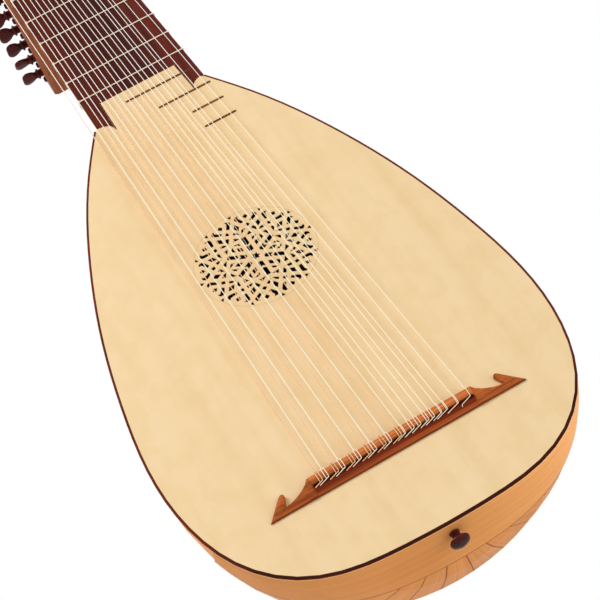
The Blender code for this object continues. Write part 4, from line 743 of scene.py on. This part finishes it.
def pegbox_point(x, down, out):
    """Point of the pegbox's own frame: down it from the nut, and out of its open side."""
    y, z = PEGBOX_START
    return Vector((x, y + math.cos(PEGBOX_TURN) * down + math.sin(PEGBOX_TURN) * out,
                   z - math.sin(PEGBOX_TURN) * down + math.cos(PEGBOX_TURN) * out))


def string_peg(index):
    """Number of the string's peg, where it sits in the pegbox and the radius of its shaft."""
    if index < 2:
        peg = PEG_COUNT + 1 + index
    elif index == len(STRINGS) - 1:
        peg = PEG_COUNT
    else:
        peg = len(STRINGS) - 2 - index
    if peg < PEG_COUNT:
        return peg, FIRST_PEG + peg * PEG_PITCH, PEG_DEPTH, SHAFT_AT_STRING
    return peg, RIDER_PEGS[peg - PEG_COUNT], RIDER_PEG_DEPTH, RIDER_SHAFT_AT_STRING


def at_bridge(index):
    """Where the string crosses the bridge: X, and Y of the ridge's front there."""
    x = BRIDGE_CENTRE_X + STRINGS[index][0] * BRIDGE_HALF_BLOCK
    return x, BRIDGE_FRONT_Y + math.tan(BRIDGE_SKEW) * (x - BRIDGE_CENTRE_X)


def main_string(index):
    """Speaking length, from the front of the bridge over the nut to the peg."""
    _, at_nut, radius, _ = STRINGS[index]
    x, front = at_bridge(index)
    x_nut = NUT_CENTRE_X + at_nut * NUT_HALF_WIDTH
    over = NUT_HEIGHT + radius + STRING_GAP
    end_y = STRING_LENGTH + NUT_THICKNESS
    points = [(x, front - 0.0004, 0.0060), (x, front + 0.0012, 0.0061), (x_nut, STRING_LENGTH + 0.0008, over)]
    peg, down, out, shaft = string_peg(index)
    reach = shaft + STRING_GAP + radius
    if peg < PEG_COUNT:
        x_peg = NUT_CENTRE_X + (x_nut - NUT_CENTRE_X) * (1 - STRING_CONVERGENCE * down)
        points.append((x_nut, end_y - 0.0015 + radius, over))
        points.append((x_nut, end_y + radius + STRING_GAP, over - 0.0016))
        sense = -1
    else:
        shift = RIDER_STRING_SHIFTS[peg - PEG_COUNT]
        x_peg = x_nut + 2 * shift
        points.append((x_nut + shift * 0.8, end_y - 0.0012, over))
        points.append((x_nut + shift, end_y + radius, over - 0.0005))
        sense = 1
    start = -sense * math.pi / 2
    for k in range(ARC_STEPS + 1):
        turn = start + sense * math.pi * k / (2 * ARC_STEPS)
        points.append(pegbox_point(x_peg, down + reach * math.cos(turn), out + reach * math.sin(turn)))
    return points, (x_peg, down, out, reach, start + sense * math.pi / 2, sense)


def bridge_knot(index):
    """Loop that goes back over the ridge twice and ends in a straight tail under its neighbour."""
    radius = STRINGS[index][2]
    x, front = at_bridge(index)
    back = front - BRIDGE_RIDGE_WIDTH
    top = BRIDGE_HEIGHT + radius
    lift = top + 0.00005
    shy = radius + 0.0001
    side = LOOP_HALF_SPACES_MM[index] / 1000
    corner = Vector((x + side * 1.15, back - shy - 0.0003, top - 0.0016))
    run = TAIL_REACHES_MM[index] / 1000 + side * 1.9
    end = Vector((corner.x - run, corner.y - run * TAIL_SLOPE, BRIDGE_APRON_TOP + radius + 0.0001))
    tail = [corner + (end - corner) * share for share in (0.04, 0.35, 0.7, 1.0)]
    over = [(x + side, front + shy * 0.2, top - 0.0009), (x + side, front - 0.0016, lift),
            (x + side * 1.08, back + 0.0018, lift), (x + side * 1.14, back - shy * 0.4, top - 0.0006),
            (x + side * 1.15, back - shy - 0.0001, top - 0.0012)]
    if not side:
        hook = end + Vector((-0.0004, -0.0016, -0.0002))
        return smooth_path([(x, front + 0.0011, 0.0063)] + over) + [corner] + tail + [hook]
    under = [(x - side * 0.7, back - shy - 0.0001, top - 0.0020),
             (x - side * 0.9, back - shy * 0.3, top - 0.0008), (x - side, back + 0.0016, lift),
             (x - side, front - 0.0016, lift), (x - side, front + shy * 0.2, top - 0.0009)]
    around = [(x, front + 0.0016, 0.0058), (x + side, front + shy + 0.0007, 0.0064)]
    return smooth_path(under + around + over) + [corner] + tail


def coil(x, down, out, reach, start, sense, radius):
    """Turns of the string on its peg."""
    points = []
    for k in range(int(COIL_TURNS * COIL_STEPS) + 1):
        turn = start + sense * 2 * math.pi * k / COIL_STEPS
        along = x + (COIL_PITCH_RADII * radius) * k / COIL_STEPS
        points.append(pegbox_point(along, down + reach * math.cos(turn), out + reach * math.sin(turn)))
    return points


def strings(made):
    """The strings with their knots, which stay on the body, and their coils, which turn with the pegs."""
    finishes = {"gut": made["string_gut"], "wound": wound("copper_wound_gut")}
    for index, (_, _, radius, kind) in enumerate(STRINGS):
        name = f"string_{index + 1:02d}"
        points, at_peg = main_string(index)
        obj = curve_piece(name, [points, bridge_knot(index)], radius, finishes[kind], "body")
        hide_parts("strings")
        peg = string_peg(index)[0] + 1
        curve_piece(f"{name}_coil", [coil(*at_peg, radius)], radius, finishes[kind], f"peg_{peg:02d}_body",
                    2)


def slip(start, end, width, height):
    """Points and faces of a slip of wood between two places, with a rounded top and eased ends."""
    start = Vector(start)
    end = Vector(end)
    along = (end - start).normalized()
    side = Vector((along.y, -along.x, 0.0))
    half = width / 2
    foot = 0.00002
    section = [(-half, foot), (-half, height * 0.55), (-half * 0.55, height * 0.92), (0.0, height),
               (half * 0.55, height * 0.92), (half, height * 0.55), (half, foot)]
    ease = along * 0.0006
    stations = ((start, 0.45), (start + ease, 1.0), (end - ease, 1.0), (end, 0.45))
    verts = []
    for spot, share in stations:
        narrowed = 0.8 + 0.2 * share
        verts += [spot + side * across * narrowed + Vector((0.0, 0.0, up * share)) for across, up in section]
    return verts, skin(len(section), len(stations))


def fret_y(number):
    """Place of a fret on the twelve-tone scale of the string length."""
    return STRING_LENGTH * 2 ** (-number / 12)


def body_frets(made):
    """Slips of dark wood glued to the soundboard, and the one that goes on over the fingerboard's barb."""
    rows = [("body_fret", *row, BODY_FRET_HEIGHT) for row in BODY_FRETS]
    rows.append(("neck_fret", *NECK_FRET, BODY_FRET_HEIGHT * 0.5))
    for kind, number, left, right, height in rows:
        y = fret_y(number)
        verts, faces = slip((left, y, 0.0), (right, y, 0.0), BODY_FRET_WIDTH, height)
        mesh_piece(f"{kind}_{number}", verts, faces, made[kind], "body")


def tongue_lines(made):
    """Dark line along each side of the soundboard's tongue, down to the point of the fingerboard's barb."""
    middle, half, _ = NECK_JOINT
    reach, depth = BARB_REACH
    for name, sign, margin in (("bass", -1, TONGUE_MARGINS[0]), ("treble", 1, TONGUE_MARGINS[1])):
        low = (middle + sign * (half - reach - 0.0006), NECK_JOINT_Y - depth - 0.0016, 0.0)
        high = (middle + sign * (half - margin - 0.0006), TONGUE_END_Y - 0.0004, 0.0)
        verts, faces = slip(low, high, TONGUE_LINE_WIDTH, TONGUE_LINE_HEIGHT)
        mesh_piece(f"tongue_line_{name}", verts, faces, made["veneer"], "body")


def peg_profile(span, radii, tip_reach):
    """Rows of a peg from tip to head: distance out of the cheek, half width and half thickness."""
    radius, tip_radius = radii
    gap, collar_length, collar = PEG_COLLAR
    length, width, thickness = PEG_HEAD
    neck_at = gap + collar_length
    eased = 0.0003
    rows = [(-span - tip_reach, tip_radius * 0.62), (-span - tip_reach + eased, tip_radius * 0.80),
            (-span, tip_radius), (0.0, radius), (gap, radius), (gap, collar - eased), (gap + eased, collar),
            (neck_at - eased, collar), (neck_at, collar - eased)]
    head = [(neck_at, collar - 2.5 * eased, collar - 2.5 * eased),
            (neck_at + 0.0016, PEG_NECK_RADIUS, PEG_NECK_RADIUS),
            (neck_at + length * 0.36, width * 0.82, thickness), (neck_at + length * 0.70, width, thickness),
            (neck_at + length * 0.92, width * 0.80, thickness * 0.78),
            (neck_at + length, width * 0.50, thickness * 0.42)]
    return [(out, r, r) for out, r in rows] + [tuple(row) for row in smooth_path(head, 4)]


def turned_pegs(made):
    """Each peg as lathe and file leave it: round shaft, collar, neck and a flat heart-shaped head."""
    beyond = PEG_COLLAR[0] + PEG_COLLAR[1] + PEG_HEAD[0]
    for number in range(PEG_COUNT + len(RIDER_PEGS)):
        node = f"peg_{number + 1:02d}"
        low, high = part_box(node)
        if number < PEG_COUNT:
            sign = 1 - 2 * (number % 2)
            radii, tip_reach = PEG_RADII, PEG_TIP_REACH
            place = (FIRST_PEG + number * PEG_PITCH, PEG_DEPTH)
        else:
            sign = RIDER_PEG_SIGNS[number - PEG_COUNT]
            radii, tip_reach = RIDER_PEG_RADII, RIDER_PEG_TIP_REACH
            place = (RIDER_PEGS[number - PEG_COUNT], RIDER_PEG_DEPTH)
        near = high[0] - beyond if sign > 0 else low[0] + beyond
        span = high[0] - low[0] - beyond - tip_reach
        centre = pegbox_point(near, *place)
        turn = math.radians(PEG_HEAD_ANGLES[number % len(PEG_HEAD_ANGLES)])
        rows = peg_profile(span, radii, tip_reach)
        verts = []
        for out, half_width, half_thickness in rows:
            for k in range(PEG_SIDES):
                angle = 2 * math.pi * k / PEG_SIDES
                a = half_width * math.cos(angle)
                b = half_thickness * math.sin(angle)
                verts.append(centre + Vector((sign * out, a * math.cos(turn) - b * math.sin(turn),
                                              a * math.sin(turn) + b * math.cos(turn))))
        faces = skin(PEG_SIDES, len(rows))
        if sign < 0:
            faces = [face[::-1] for face in faces]
        obj = mesh_piece(f"turned_{node}", verts, faces, made["pegs"], f"{node}_body", 40.0)
        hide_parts(node)


def tied_frets(made):
    """Gut tied round the neck, with its knot turned twice about itself at the bass edge."""
    away = TIED_FRET_RADIUS + FRET_GAP
    top = -BOARD_DROP
    for number in range(1, TIED_FRET_COUNT + 1):
        y = fret_y(number)
        share = max((y - NECK_JOINT_Y) / (STRING_LENGTH - NECK_JOINT_Y), 0.0)
        middle, half = (a + (b - a) * share for a, b in zip(NECK_JOINT[:2], NECK_NUT[:2]))
        depth = NECK_JOINT[2] + (NECK_NUT[2] - NECK_JOINT[2]) * share ** NECK_TAPER_POWER
        path = [(middle + (half - 0.0012) * (1 - k / 4), y, away) for k in range(8)]
        path += [(middle - half + 0.0004, y, away * 0.95), (middle - half - away * 0.70, y, away * 0.45)]
        for k in range(FRET_ARC_STEPS + 1):
            turn = math.pi - math.pi * k / FRET_ARC_STEPS
            path.append((middle + (half + away) * math.cos(turn), y,
                         top - (depth + away + top) * math.sin(turn) ** NECK_ROUND_POWER))
        path += [(middle + half + away * 0.70, y, away * 0.45), (middle + half - 0.0004, y, away * 0.95)]
        obj = curve_piece(f"fret_{number}", [path], TIED_FRET_RADIUS, made["fret_gut"], "body")
        obj.data.splines[0].use_cyclic_u = True
        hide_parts(f"tied_fret_{number}")
        knot = []
        for k in range(FRET_KNOT_STEPS + 1):
            turn = 2 * math.pi * k / FRET_KNOT_STEPS_PER_TURN
            knot.append((middle - half - 0.0004 + FRET_KNOT_RADIUS * math.cos(turn),
                         y - 0.0010 + 0.0020 * k / FRET_KNOT_STEPS,
                         away * 0.9 + FRET_KNOT_RADIUS * math.sin(turn)))
        curve_piece(f"fret_{number}_knot", [knot], TIED_FRET_RADIUS * 0.75, made["fret_gut"], "body",
                    2)


set_camera()
set_light()
set_floor()
made = set_materials()
strings(made)
tied_frets(made)
body_frets(made)
tongue_lines(made)
turned_pegs(made)
